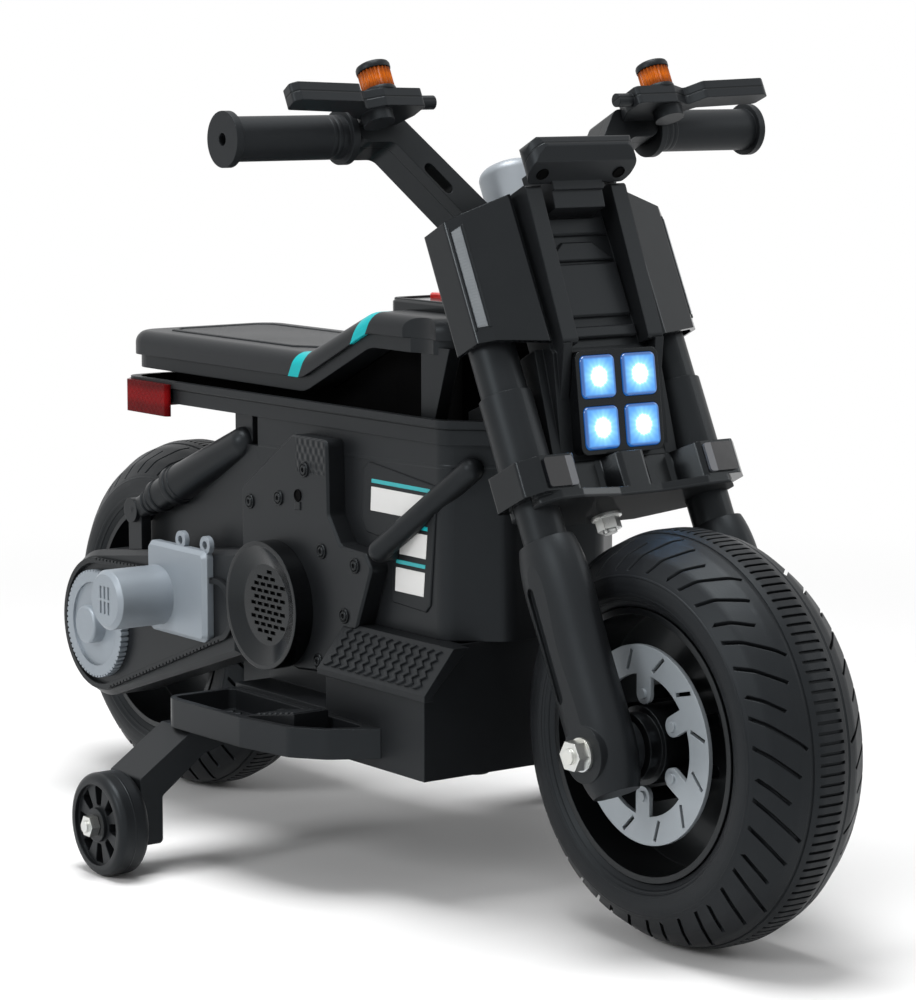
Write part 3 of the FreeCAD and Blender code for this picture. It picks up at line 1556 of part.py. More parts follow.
def motor_cover():
    face = -arm_outer_y
    base = prism(motor_base_outline(), "xz", face - motor_base_depth, face, motor_base_corner)
    base = base.makeChamfer(wall, edges_at(base, "Y", face - motor_base_depth))
    can = cross_rod(motor_x, motor_z, -motor_can_end, face, motor_can_radius)
    can = can.makeChamfer(motor_can_chamfer, edges_at(can, "Y", -motor_can_end))
    lugs = []
    for share in motor_lug_shares:
        x = motor_base_rear_x + share * (motor_base_front_x - motor_base_rear_x)
        z = motor_base_top + motor_lug_rise
        lugs.append(cross_ring(x, z, face - motor_lug_depth, face, motor_lug_radius, motor_lug_hole))
    bore = cross_rod(motor_x, motor_z, -motor_back_y(), face + overrun, motor_radius + slip_gap)
    vents = []
    for column in (-1, 0, 1):
        for row in (-1, 1):
            x = motor_x + column * vent_pitch
            z = motor_z + row * vent_shift
            vents.append(box(x - vent_width / 2, x + vent_width / 2, -motor_can_end - overrun,
                             -motor_can_end + vent_depth, z - vent_length / 2, z + vent_length / 2))
    return joined([base, can] + lugs).cut([bore] + vents)


def belt_pulley():
    face = -arm_outer_y
    outer = face - pulley_depth
    disc = cross_rod(0, 0, outer, face, pulley_radius)
    notches = []
    for k in range(pulley_teeth):
        notch = box(-pulley_tooth / 2, pulley_tooth / 2, outer - overrun, face + overrun,
                    pulley_radius - pulley_tooth, pulley_radius + overrun)
        notches.append(around_axle(notch, 360 * k / pulley_teeth))
    groove = cross_ring(0, 0, outer - overrun, outer + pulley_depth / 3, pulley_ring_radius,
                        pulley_boss_radius)
    cap_end = face - axle_end_gap - pulley_boss_wall
    boss = cross_rod(0, 0, cap_end, outer, pulley_boss_radius)
    boss = boss.makeFillet(pulley_boss_round, edges_at(boss, "Y", cap_end))
    centre = cross_rod(0, 0, face - axle_end_gap, face + overrun, pulley_bore_radius)
    solid = joined([disc.cut(notches + [groove]), boss])
    return on_rear(solid.cut(centre)).cut(belt_loop())


def hull_outline(shrink):
    """Loop round the rear pulley and the front one, as the points of its straight runs."""
    rear, front = belt_rear_radius - shrink, belt_front_radius - shrink
    dx, dz = belt_front_x - rear_axle_x, belt_front_z - axle_z
    span = math.hypot(dx, dz)
    line = math.atan2(dz, dx)
    lean = math.acos((rear - front) / span)
    points = []
    for sign in (1, -1):
        a = line + sign * lean
        near = V(rear_axle_x + rear * math.cos(a), 0, axle_z + rear * math.sin(a))
        far = V(belt_front_x + front * math.cos(a), 0, belt_front_z + front * math.sin(a))
        points.append((near, far))
    rear_mid = V(rear_axle_x - rear * math.cos(line), 0, axle_z - rear * math.sin(line))
    front_mid = V(belt_front_x + front * math.cos(line), 0, belt_front_z + front * math.sin(line))
    return points, rear_mid, front_mid


def hull_prism(shrink, y0, y1):
    (upper, lower), rear_mid, front_mid = hull_outline(shrink)
    wire = Part.Wire([Part.LineSegment(upper[0], upper[1]).toShape(),
                      Part.Arc(upper[1], front_mid, lower[1]).toShape(),
                      Part.LineSegment(lower[1], lower[0]).toShape(),
                      Part.Arc(lower[0], rear_mid, upper[0]).toShape()])
    solid = Part.Face(wire).extrude(V(0, y1 - y0, 0))
    solid.translate(V(0, y0, 0))
    return solid


def belt_loop():
    face = -arm_outer_y
    ring = hull_prism(-belt_thickness, face - belt_height, face)
    return ring.cut(hull_prism(0, face - belt_height - overrun, face + overrun))


def toothed_belt():
    face = -arm_outer_y
    upper, lower = hull_outline(-belt_thickness)[0]
    notches = []
    for near, far in (upper, lower):
        run = far - near
        angle = math.degrees(math.atan2(run.z, run.x))
        for k in range(int(run.Length / belt_tooth_pitch)):
            at = near + run * ((k + 0.5) * belt_tooth_pitch / run.Length)
            notch = box(-belt_tooth / 2, belt_tooth / 2, face - belt_height - overrun, face + overrun,
                        -belt_tooth, belt_tooth)
            notch.rotate(V(0, 0, 0), V(0, 1, 0), -angle)
            notch.translate(V(at.x, 0, at.z))
            notches.append(notch)
    room = prism(motor_base_outline(), "xz", face - belt_height - overrun, face + overrun,
                 motor_base_corner)
    return belt_loop().cut(notches).cut([room, motor_cover()])


def rear_axle():
    right = -arm_outer_y - axle_end_gap + thread_end
    return on_rear(cross_rod(0, 0, right, arm_outer_y + axle_end_gap, axle_radius))


def rear_nuts():
    return [on_rear(axle_nut(-arm_outer_y, -1)), on_rear(axle_nut(arm_outer_y, 1))]


# Footrests, pedal and stabilisers

def rest_outline(inset):
    inner = chassis_half
    points = scaled(rest_outline_shares, rest_rear_x, rest_length, -inner, inner - rest_half)
    if inset == 0:
        return points
    face = Part.Face(outline_wire(points, "xy", 0))
    wire = face.OuterWire.makeOffset2D(-inset, 2)
    return [(v.Point.x, v.Point.y) for v in wire.OrderedVertexes]


def footrest():
    top = rest_bottom + rest_height
    tray = prism(rest_outline(0), "xy", rest_bottom, top, [0.0, 0.0] + [rest_corner] * 4)
    pocket = prism(rest_outline(rest_wall), "xy", rest_bottom + rest_floor, top + overrun, rest_wall)
    return tray.cut(pocket)


def pedal_axis_z():
    return rest_bottom + rest_floor + pedal_rear_radius + pedal_floor_gap


def pedal_pin_ends():
    outer = pedal_inner_y + pedal_width
    return -outer - pedal_pin_length, -pedal_inner_y + pedal_pin_length


def right_footrest():
    """Footrest with two ears that carry the pedal's trunnions, and a window for the pedal switch."""
    floor = rest_bottom + rest_floor
    ears = []
    for y in (-pedal_inner_y + running_gap, -pedal_inner_y - pedal_width - running_gap - pedal_pin_length):
        ears.append(box(pedal_rear_x - pedal_rear_radius, pedal_rear_x + pedal_rear_radius, y,
                        y + pedal_pin_length, floor, pedal_axis_z() + pedal_rear_radius))
    low, high = pedal_pin_ends()
    bore = cross_rod(pedal_rear_x, pedal_axis_z(), low - running_gap, high + running_gap,
                     pedal_pin_radius + slip_gap)
    return joined([footrest()] + ears).cut([bore, switch_box(slip_gap)])


def accelerator_pedal():
    z = pedal_axis_z()
    lift = pedal_length * math.tan(math.radians(pedal_travel_deg))
    front = pedal_rear_x + pedal_length
    points = [(pedal_rear_x, z - pedal_rear_radius), (front, z - pedal_rear_radius + lift),
              (front, z - pedal_rear_radius + lift + pedal_front_height),
              (pedal_rear_x, z + pedal_rear_radius)]
    wedge = prism(points, "xz", -pedal_inner_y - pedal_width, -pedal_inner_y)
    heel = cross_rod(pedal_rear_x, z, -pedal_inner_y - pedal_width, -pedal_inner_y, pedal_rear_radius)
    low, high = pedal_pin_ends()
    pin = cross_rod(pedal_rear_x, z, low, high, pedal_pin_radius)
    return joined([wedge, heel, pin])


def switch_box(gap):
    x = pedal_rear_x + pedal_length * switch_place_share
    y = -pedal_inner_y - pedal_width / 2
    half_x = switch_length / 2 + gap
    half_y = switch_width / 2 + gap
    top = rest_bottom + rest_floor + pedal_floor_gap / 2
    return box(x - half_x, x + half_x, y - half_y, y + half_y, rest_bottom + switch_step - gap, top + gap)


def pedal_switch():
    return switch_box(0)


stabiliser_z = stabiliser_radius
bracket_outer_y = stabiliser_outer_y - stabiliser_width - bracket_gap


def stabiliser_wheel():
    half = stabiliser_width / 2
    body = cross_rod(0, 0, -half, half, stabiliser_radius)
    body = body.makeFillet(stabiliser_round, edges_at(body, "Y", -half) + edges_at(body, "Y", half))
    cuts = [cross_rod(0, 0, -half - overrun, half + overrun, bolt_radius + slip_gap),
            cross_ring(0, 0, -half - overrun, -half + stabiliser_recess, stabiliser_window_outer + wall / 2,
                       stabiliser_window_inner - wall / 2)]
    middle = (stabiliser_window_inner + stabiliser_window_outer) / 2
    reach = (stabiliser_window_outer - stabiliser_window_inner) / 2
    for k in range(stabiliser_windows):
        points = [(-stabiliser_window_root, middle - reach), (stabiliser_window_root, middle - reach),
                  (stabiliser_window_tip, middle + reach), (-stabiliser_window_tip, middle + reach)]
        window = prism(points, "xz", -half - overrun, half + overrun, wall / 2)
        cuts.append(around_axle(window, 360 * k / stabiliser_windows))
    return placed(body.cut(cuts), stabiliser_x, -stabiliser_outer_y + half, stabiliser_z)


def stabiliser_bracket():
    inner = bracket_outer_y - bracket_thickness
    foot = stabiliser_z - bracket_foot_below
    points = [(-bracket_inner_y, rest_bottom), (-bracket_shoulder_y, rest_bottom),
              (-bracket_outer_y, bracket_knee_z + bracket_thickness * bracket_bend_share),
              (-bracket_outer_y, foot), (-inner, foot),
              (-inner, bracket_knee_z - bracket_thickness * bracket_bend_share),
              (-bracket_shoulder_y + bracket_thickness * bracket_root_share, rest_bottom - bracket_thickness),
              (-bracket_inner_y, rest_bottom - bracket_thickness * bracket_root_share)]
    arm = prism(points, "yz", stabiliser_x - bracket_half_length, stabiliser_x + bracket_half_length, wall)
    bore = cross_rod(stabiliser_x, stabiliser_z, -stabiliser_outer_y, 0, bolt_radius)
    return arm.cut(bore)


def stabiliser_bolt():
    face = -stabiliser_outer_y
    inner = -bracket_outer_y + bracket_thickness
    nut_end = face - running_gap - bolt_nut_height
    shank = cross_rod(stabiliser_x, stabiliser_z, nut_end - thread_end, inner, bolt_radius)
    nut = hexagon(stabiliser_x, stabiliser_z, nut_end, face - running_gap, bolt_nut_width)
    head = hexagon(stabiliser_x, stabiliser_z, inner, inner + bolt_nut_height, bolt_nut_width)
    return joined([shank, nut, head])


# Inside the lower chassis

def battery():
    floor = chassis_bottom + wall
    return box(battery_x, battery_x + battery_length, -battery_width / 2, battery_width / 2, floor,
               floor + battery_height)


def control_box():
    floor = chassis_bottom + wall
    return box(box_x, box_x + box_length, -box_width / 2, box_width / 2, floor, floor + box_height)


os.makedirs("parts", exist_ok=True)

# Front wheel
wheel_tyre = tyre()
save("front_tyre", on_front(wheel_tyre))
save("front_rim", on_front(front_rim()))
save("front_discs", [on_front(disc) for disc in pair(slotted_disc())])

# Steering
save("fork_legs", [steered(leg) for leg in pair(fork_leg())])
save("fork_tubes", [steered(tube) for tube in pair(fork_tube())])
save("lower_yoke", steered(lower_yoke()))
save("upper_yoke", steered(upper_yoke()))
save("marker_lenses", [steered(lens) for lens in pair(marker_lens())])
save("steering_stem", [steered(steering_stem()), steered(stem_nut())])
save("stem_cap", steered(stem_cap()))
save("front_axle", [front_axle()] + [on_front(axle_nut(side * leg_outer_v, side)) for side in (-1, 1)])
save("headlight_bezel", steered(headlight_bezel()))
save("headlight_lenses", [steered(lens) for lens in headlight_lenses()])
save("front_shroud", steered(front_shroud()))
save("shoulder_covers", [steered(cover) for cover in pair(shoulder_cover())])
save("dash_housing", steered(dash_housing()))
save("risers", [steered(arm) for arm in pair(riser())])
save("grips", [steered(sleeve) for sleeve in pair(grip())])
save("lever_brackets", [steered(lever) for lever in pair(lever_bracket())])
save("turn_lamps", [steered(lamp) for lamp in pair(turn_lamp())])

# Frame
save("top_tray", top_tray())
save("body_shells", body_shells())
save("lower_chassis", lower_chassis())
save("head_tube", head_tube())
save("head_bushes", head_bushes())
save("tail_light", tail_light())
save("seat_pad", seat_pad())
save("seat_base", seat_base())
save("tank_console", tank_console())
save("start_button", console_button(button_centres()[0]))
save("direction_button", console_button(button_centres()[1]))
save("side_plates", pair(side_plate()))
save("speaker_horns", pair(speaker_horn()))
save("loudspeaker", loudspeaker())
save("frame_struts", pair(frame_strut()))
save("shocks", pair(shock()))
save("body_screws", [piece for screw in plate_screws() for piece in pair(screw)])

# Rear drive and rear wheel
save("rear_tyre", on_rear(wheel_tyre))
save("rear_rim", on_rear(rim()))
save("drive_gear", drive_gear())
save("reduction_gear", reduction_gear())
save("motor_pinion", motor_pinion())
save("drive_motor", drive_motor())
save("gearbox_plate", gearbox_plate())
save("drive_cover", drive_cover())
save("swingarm_left", swingarm_left())
save("motor_cover", motor_cover())
save("belt_pulley", belt_pulley())
save("toothed_belt", toothed_belt())
save("rear_axle", [rear_axle()] + rear_nuts())

# Footrests and stabilisers
save("footrests", [right_footrest(), mirrored(footrest())])
save("accelerator_pedal", accelerator_pedal())
save("pedal_switch", pedal_switch())
save("stabiliser_brackets", pair(stabiliser_bracket()))
save("stabiliser_bolts", pair(stabiliser_bolt()))
save("stabiliser_wheel_right", stabiliser_wheel())
save("stabiliser_wheel_left", mirrored(stabiliser_wheel()))

# Inside
save("battery", battery())
save("control_box", control_box())
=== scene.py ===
import math

import bmesh
import bpy
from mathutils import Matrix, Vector


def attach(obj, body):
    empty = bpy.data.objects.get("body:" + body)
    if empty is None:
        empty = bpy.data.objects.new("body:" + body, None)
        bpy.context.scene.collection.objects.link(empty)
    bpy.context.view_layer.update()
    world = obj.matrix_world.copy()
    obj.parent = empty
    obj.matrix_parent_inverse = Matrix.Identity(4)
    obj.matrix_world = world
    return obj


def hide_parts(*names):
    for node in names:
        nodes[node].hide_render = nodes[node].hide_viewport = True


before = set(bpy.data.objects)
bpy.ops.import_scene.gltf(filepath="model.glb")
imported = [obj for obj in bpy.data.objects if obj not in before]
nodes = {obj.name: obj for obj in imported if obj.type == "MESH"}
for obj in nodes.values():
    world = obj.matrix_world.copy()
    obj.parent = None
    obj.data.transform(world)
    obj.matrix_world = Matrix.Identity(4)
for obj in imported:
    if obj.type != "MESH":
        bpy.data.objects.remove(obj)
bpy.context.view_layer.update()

# Camera: a long lens at about handlebar height, to the front right of the bike, as the photograph was taken.
# It is level from side to side and looks a little down.
lens = bpy.data.cameras.new("photo_lens")
lens.lens = 119.09
lens.sensor_width = 36.0
look_down = math.radians(7.81)
look_round = math.radians(53.905)
camera = bpy.data.objects.new("photo_camera", lens)
camera.location = (1.821, -1.297, 0.553)
camera.rotation_euler = (math.pi / 2 - look_down, 0.0, look_round)
bpy.context.scene.collection.objects.link(camera)
bpy.context.scene.camera = camera
bpy.context.scene.view_settings.view_transform = "Standard"


# Studio: a pale paper floor that runs out into a white background, with one large soft box overhead
# and a weaker one on each side. The floor keeps the bike's shadow.
class Paint:
    """One socket of a node tree, so that shader maths reads as plain expressions."""

    def __init__(self, tree, socket=None):
        self.tree = tree
        self.socket = socket

    def node(self, kind, settings=None, inputs=None, out=0):
        made = self.tree.nodes.new("ShaderNode" + kind)
        for key, value in (settings or {}).items():
            setattr(made, key, value)
        for key, value in (inputs or {}).items():
            if isinstance(value, Paint):
                self.tree.links.new(value.socket, made.inputs[key])
            else:
                made.inputs[key].default_value = value
        return Paint(self.tree, made.outputs[out])

    def math(self, operation, first, second=0.0):
        return self.node("Math", {"operation": operation}, {0: first, 1: second})

    def __add__(self, other):
        return self.math("ADD", self, other)

    __radd__ = __add__

    def __sub__(self, other):
        return self.math("SUBTRACT", self, other)

    def __rsub__(self, other):
        return self.math("SUBTRACT", other, self)

    def __mul__(self, other):
        return self.math("MULTIPLY", self, other)

    __rmul__ = __mul__

    def __pow__(self, power):
        return self.math("POWER", self, power)

    def __abs__(self):
        return self.math("ABSOLUTE", self)

    def most(self, other):
        return self.math("MAXIMUM", self, other)

    def wave(self, length):
        """Sine wave of that length over the value."""
        return self.math("SINE", self * (2 * math.pi / length))

    def above(self, edge, soft):
        """0 below the edge and 1 above it, with a soft step of that half width."""
        return self.node("MapRange", {"interpolation_type": "SMOOTHSTEP"},
                         {"Value": self, "From Min": edge - soft, "From Max": edge + soft})

    def line(self, centre, half, soft):
        """1 on a line of that half width and 0 away from it."""
        return 1.0 - abs(self - centre).above(half, soft)

    def mix(self, low, high):
        """One colour where the value is 0 and the other where it is 1."""
        ends = [end if isinstance(end, Paint) else (*end, 1.0) for end in (low, high)]
        return self.node("Mix", {"data_type": "RGBA"}, {0: self, 6: ends[0], 7: ends[1]}, 2)

    def noise(self, scale, detail=2.0, stretch=(1.0, 1.0, 1.0)):
        place = self.node("TexCoord", out="Object")
        place = self.node("Mapping", {}, {"Vector": place, "Scale": stretch})
        return self.node("TexNoise", {}, {"Vector": place, "Scale": scale, "Detail": detail})

    def place(self):
        """The surface point's X, Y and Z on the bike at rest."""
        where = self.node("SeparateXYZ", {}, {0: self.node("TexCoord", out="Object")}).socket.node
        return [Paint(self.tree, where.outputs[k]) for k in range(3)]

    def bump(self, strength, distance, height, edge=None):
        """The normal of a surface with that height, its sharp edges rounded by that radius."""
        inputs = {"Strength": strength, "Distance": distance, "Height": height}
        if edge is not None:
            inputs["Normal"] = self.node("Bevel", {"samples": 4}, {"Radius": edge})
        return self.node("Bump", {}, inputs)

    def seen_directly(self):
        """1 for rays from the camera, a mirror or glass, and 0 for rays that light the scene."""
        path = self.node("LightPath").socket.node
        seen = Paint(self.tree, path.outputs["Is Camera Ray"])
        for kind in ("Is Glossy Ray", "Is Transmission Ray"):
            seen = seen.most(Paint(self.tree, path.outputs[kind]))
        return seen


def surface(material, values):
    """Set or link sockets of a material's main shader."""
    shader = material.node_tree.nodes["Principled BSDF"]
    for key, value in values.items():
        if isinstance(value, Paint):
            material.node_tree.links.new(value.socket, shader.inputs[key])
        else:
            shader.inputs[key].default_value = value
    return material


def finish(name):
    material = bpy.data.materials.new(name)
    material.use_nodes = True
    return material, Paint(material.node_tree)


paper, paint = finish("floor_paper")
floor_x, floor_y = paint.place()[:2]
paper_reach = 1.05
paper_fade = 0.6
far_off = ((floor_x ** 2.0 + floor_y ** 2.0) ** 0.5).above(paper_reach, paper_fade) * paint.seen_directly()
fibre = paint.noise(700.0).mix((0.90, 0.90, 0.90), (0.93, 0.93, 0.93))
surface(paper, {"Base Color": fibre, "Roughness": 0.9, "Specular IOR Level": 0.1})
sheet = Paint(paper.node_tree, paper.node_tree.nodes["Principled BSDF"].outputs[0])
white = paint.node("Emission", {}, {"Color": (1.0, 1.0, 1.0, 1.0), "Strength": 1.0})
blend = paint.node("MixShader", {}, {0: far_off, 1: sheet, 2: white})
paper.node_tree.links.new(blend.socket, paper.node_tree.nodes["Material Output"].inputs["Surface"])
floor_reach = 14.0
floor_drop = 0.0005
floor_sides = 64
floor_step = 2 * math.pi / floor_sides
floor_rim = [(floor_reach * math.cos(floor_step * k), floor_reach * math.sin(floor_step * k), 0.0)
             for k in range(floor_sides)]
floor_mesh = bpy.data.meshes.new("floor_paper")
floor_mesh.from_pydata(floor_rim, [], [list(range(floor_sides))])
floor_mesh.materials.append(paper)
floor = bpy.data.objects.new("floor_paper", floor_mesh)
floor.location.z = -floor_drop
bpy.context.scene.collection.objects.link(floor)

sky = bpy.data.worlds.new("studio_white")
bpy.context.scene.world = sky
sky.use_nodes = True
backing = sky.node_tree.nodes["Background"]
backing.inputs["Color"].default_value = (1.0, 1.0, 1.0, 1.0)
sky_fill = 0.38
sky_strength = Paint(sky.node_tree).seen_directly() * (1.0 - sky_fill) + sky_fill
sky.node_tree.links.new(sky_strength.socket, backing.inputs["Strength"])

aim = Vector((0.0, 0.0, 0.25))
for box_name, box_place, box_size, watts in (("soft_box_top", (0.1, -0.3, 2.4), 1.3, 56.0),
                                             ("soft_box_right", (0.2, -2.6, 1.5), 0.9, 26.0),
                                             ("soft_box_left", (1.4, 2.2, 1.6), 0.9, 8.0)):
    glow = bpy.data.lights.new(box_name, "AREA")
    glow.energy = watts
    glow.size = box_size
    lamp = bpy.data.objects.new(box_name, glow)
    lamp.location = box_place
    lamp.rotation_euler = (aim - Vector(box_place)).to_track_quat("-Z", "Y").to_euler()
    bpy.context.scene.collection.objects.link(lamp)


# Tyres: one-piece blow-moulded black tyres with a ribbed centre band, two grooves and slanted sipes.
# The sidewalls carry fine moulded rings, and the rubbery plastic is a little dusty between them.
sky_tint = (0.84, 0.94, 1.0, 1.0)
axle_reach = 0.286
axle_height = 0.130
tread_start = 0.106


def wear(node_name, material):
    """Put a finish on a CAD node."""
    mesh = nodes[node_name].data
    mesh.materials.clear()
    mesh.materials.append(material)


def tyre_finish(name, axle_x):
    material, paint = finish(name)
    x, y, z = paint.place()
    reach = ((x - axle_x) ** 2.0 + (z - axle_height) ** 2.0) ** 0.5
    rings = reach.line(0.1045, 0.0006, 0.0003) + reach.line(0.0925, 0.0009, 0.0004)
    rings = rings + reach.line(0.0895, 0.0005, 0.0003)
    side_wall = 1.0 - reach.above(tread_start, 0.002)
    grain = paint.noise(1300.0, 3.0)
    dust = paint.noise(55.0, 4.0)
    return surface(material, {"Base Color": dust.mix((0.0052, 0.0058, 0.0068), (0.0088, 0.0094, 0.0106)),
                              "Roughness": 0.40 + dust * 0.12,
                              "Normal": paint.bump(0.55, 0.0006, grain * 0.25 + rings * side_wall, 0.0007),
                              "Specular IOR Level": 0.2, "Specular Tint": sky_tint})


wear("front_tyre", tyre_finish("front_tyre_rubber", axle_reach))
wear("rear_tyre", tyre_finish("rear_tyre_rubber", -axle_reach))


# Rims: deep black dishes moulded in polypropylene with a bright gloss, a web in the middle and a plain hub.
# They sit in the tyre's beads.
def gloss_finish(name, roughness, tone):
    material, paint = finish(name)
    haze = paint.noise(38.0, 3.0)
    specks = paint.noise(900.0)
    dark = (tone * 0.7, tone * 0.76, tone * 0.88)
    pale = (tone * 1.2, tone * 1.27, tone * 1.42)
    return surface(material, {"Base Color": haze.mix(dark, pale),
                              "Roughness": roughness - 0.04 + haze * 0.08,
                              "Normal": paint.bump(0.08, 0.0003, haze * 0.7 + specks * 0.1, 0.0009),
                              "Coat Weight": 0.06, "Coat Roughness": 0.05,
                              "Specular IOR Level": 0.24, "Specular Tint": sky_tint})


rim_gloss = gloss_finish("rim_gloss_black", 0.3, 0.003)
wear("front_rim", rim_gloss)
wear("rear_rim", rim_gloss)


# Disc, stem cap, motor cover and belt pulley: plastic mouldings sprayed silver grey, with the fine flake
# and slight unevenness of toy paint.
def silver_finish(name, tone):
    material, paint = finish(name)
    flake = paint.noise(2600.0)
    cloud = paint.noise(22.0, 4.0)
    dark = [part * 0.88 for part in tone]
    pale = [part * 1.1 for part in tone]
    return surface(material, {"Base Color": (flake * 0.4 + cloud * 0.6).mix(dark, pale),
                              "Roughness": 0.36 + cloud * 0.12, "Metallic": 0.25,
                              "Normal": paint.bump(0.1, 0.0002, flake, 0.0008)})


disc_silver = silver_finish("disc_silver_paint", (0.27, 0.30, 0.325))
drive_silver = silver_finish("drive_silver_paint", (0.25, 0.285, 0.32))
wear("front_discs", disc_silver)
wear("motor_cover", drive_silver)
wear("belt_pulley", drive_silver)
wear("stem_cap", silver_finish("stem_cap_silver_paint", (0.30, 0.33, 0.36)))

# Axles, stem, stabiliser bolts: steel rods, washers and hexagon nuts with bright zinc plating,
# tightened by hand, so the plating has faint turning marks.
zinc, paint = finish("zinc_plated_steel")
streak = paint.noise(420.0, 3.0, (1.0, 6.0, 1.0))
tint = paint.noise(60.0)
surface(zinc, {"Base Color": tint.mix((0.50, 0.53, 0.56), (0.66, 0.65, 0.58)), "Metallic": 1.0,
               "Roughness": 0.22 + streak * 0.18, "Normal": paint.bump(0.15, 0.0002, streak, 0.0006)})
for steel_node in ("front_axle", "rear_axle", "stabiliser_bolts", "steering_stem"):
    wear(steel_node, zinc)


# Satin black mouldings: polypropylene with a fine eroded grain, dull black with a soft sheen.
# Some show a parting line where their two halves meet.
def satin_finish(name, tone=0.0085, roughness=0.42, seam=None, relief=None):
    """seam and relief take the paint and give a mask of the parting line, and a height, over the surface."""
    material, paint = finish(name)
    height = paint.noise(1500.0) * 0.22
    cloud = paint.noise(14.0, 3.0)
    dark = (tone * 0.62, tone * 0.68, tone * 0.78)
    pale = (tone * 1.05, tone * 1.13, tone * 1.26)
    colour = cloud.mix(dark, pale)
    if seam is not None:
        groove = seam(paint)
        height = height - groove * 2.2
        colour = groove.mix(colour, (0.0015, 0.0015, 0.0016))
    if relief is not None:
        height = height + relief(paint)
    return surface(material, {"Base Color": colour, "Roughness": roughness - 0.05 + cloud * 0.1,
                              "Normal": paint.bump(0.4, 0.0005, height, 0.001),
                              "Specular IOR Level": 0.21, "Specular Tint": sky_tint})


satin = satin_finish("satin_black_moulding")
for black_node in ("fork_legs", "fork_tubes", "upper_yoke", "head_tube", "frame_struts", "gearbox_plate",
                   "toothed_belt", "stabiliser_brackets", "lower_chassis"):
    wear(black_node, satin)


# Steering parts stand along the stem, which leans back by the fork's rake.
# u runs forward of the stem, v to the rider's left and w up the stem from the axle's height.
rake = math.radians(26.0)
fork_offset = 0.020
stem_ahead = Vector((math.cos(rake), 0.0, math.sin(rake)))
stem_left = Vector((0.0, 1.0, 0.0))
stem_up = Vector((-math.sin(rake), 0.0, math.cos(rake)))
stem_foot = Vector((axle_reach, 0.0, axle_height)) - fork_offset * stem_ahead


def on_stem(u, v, w):
    return stem_foot + u * stem_ahead + v * stem_left + w * stem_up


def along(paint, direction, origin=stem_foot):
    """Distance of the surface point from the origin along a direction."""
    x, y, z = paint.place()
    return (x - origin.x) * direction.x + (y - origin.y) * direction.y + (z - origin.z) * direction.z


# Lower yoke: a gloss black crossbar that clamps both fork tubes, with a square marker lens at each end.
# Its underside is dull, as moulded. Each lens is smoked plastic with a paler strip towards the middle.
yoke_foot = 0.1545
yoke_polish = 0.2
yoke_gloss = gloss_finish("yoke_gloss_black", yoke_polish, 0.004)
underside = 1.0 - along(Paint(yoke_gloss.node_tree), stem_up).above(yoke_foot, 0.0008)
wear("lower_yoke", surface(yoke_gloss, {"Roughness": yoke_polish + underside * 0.65}))
marker, paint = finish("marker_lens_smoke")
x, y, z = paint.place()
strip_end = 0.0585
strip = 1.0 - abs(y).above(strip_end, 0.0003)
surface(marker, {"Base Color": strip.mix((0.006, 0.0065, 0.008), (0.085, 0.09, 0.10)), "Coat Weight": 0.2,
                 "Roughness": 0.12 + strip * 0.2, "Normal": paint.bump(0.1, 0.0002, paint.noise(90.0))})
wear("marker_lenses", marker)

# Headlight: a gloss bezel with four square clear lenses over blue-white light-emitting diodes.
# The light is brightest at the diode and spreads in rays to the lens's faceted edge.
wear("headlight_bezel", gloss_finish("bezel_gloss_black", 0.2, 0.004))
lamp_lens, paint = finish("headlight_lens_lit")
lean = math.radians(18.3)
lens_middle = 0.0325
lens_across = 0.0164
lens_up = 0.016
halo_reach = 0.0075
core_reach = 0.0040
facet_start = 0.0116
bezel_foot = on_stem(0.0346, 0.0, 0.183)
bezel_up = math.sin(lean) * stem_ahead + math.cos(lean) * stem_up
across = abs(along(paint, stem_left, bezel_foot)) - lens_across
upward = abs(along(paint, bezel_up, bezel_foot) - lens_middle) - lens_up
out = (across ** 2.0 + upward ** 2.0) ** 0.5
turn = paint.math("ARCTAN2", upward, across)
rays = turn.wave(0.52) * turn.wave(1.26)
halo = 1.0 - (out - rays * 0.0007).above(halo_reach, 0.0070)
core = 1.0 - (out - rays * 0.0004).above(core_reach, 0.0034)
edge = abs(across).most(abs(upward)).above(facet_start, 0.0010)
light = halo.mix((0.0019, 0.0112, 0.029), (0.017, 0.041, 0.068))
light = core.mix(light, (0.25, 0.55, 1.0))
light = edge.mix(light, (0.0004, 0.0033, 0.0121))
surface(lamp_lens, {"Base Color": light, "Roughness": 0.08 + edge * 0.1, "Coat Weight": 0.8,
                    "Emission Color": light, "Emission Strength": 30.0,
                    "Normal": paint.bump(0.15, 0.0005, rays * 0.3 + edge)})
wear("headlight_lenses", lamp_lens)


# Front shroud: a hollow cover round the stem with two upright ribs. Between the ribs stand a stepped panel
# and a cross bar, moulded in one with it.
def piece(name, shape, material, body, crease=35.0):
    """A mesh in the bike's own frame that rides on a body, smooth where faces meet below the crease angle."""
    points, faces = shape
    mesh = bpy.data.meshes.new(name)
    mesh.from_pydata([tuple(point) for point in points], [], faces)
    work = bmesh.new()
    work.from_mesh(mesh)
    bmesh.ops.remove_doubles(work, verts=work.verts, dist=1e-6)
    bmesh.ops.recalc_face_normals(work, faces=work.faces)
    work.to_mesh(mesh)
    work.free()
    mesh.materials.append(material)
    mesh.shade_smooth()
    mesh.set_sharp_from_angle(angle=math.radians(crease))
    made = bpy.data.objects.new(name, mesh)
    bpy.context.scene.collection.objects.link(made)
    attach(made, body)
    return made


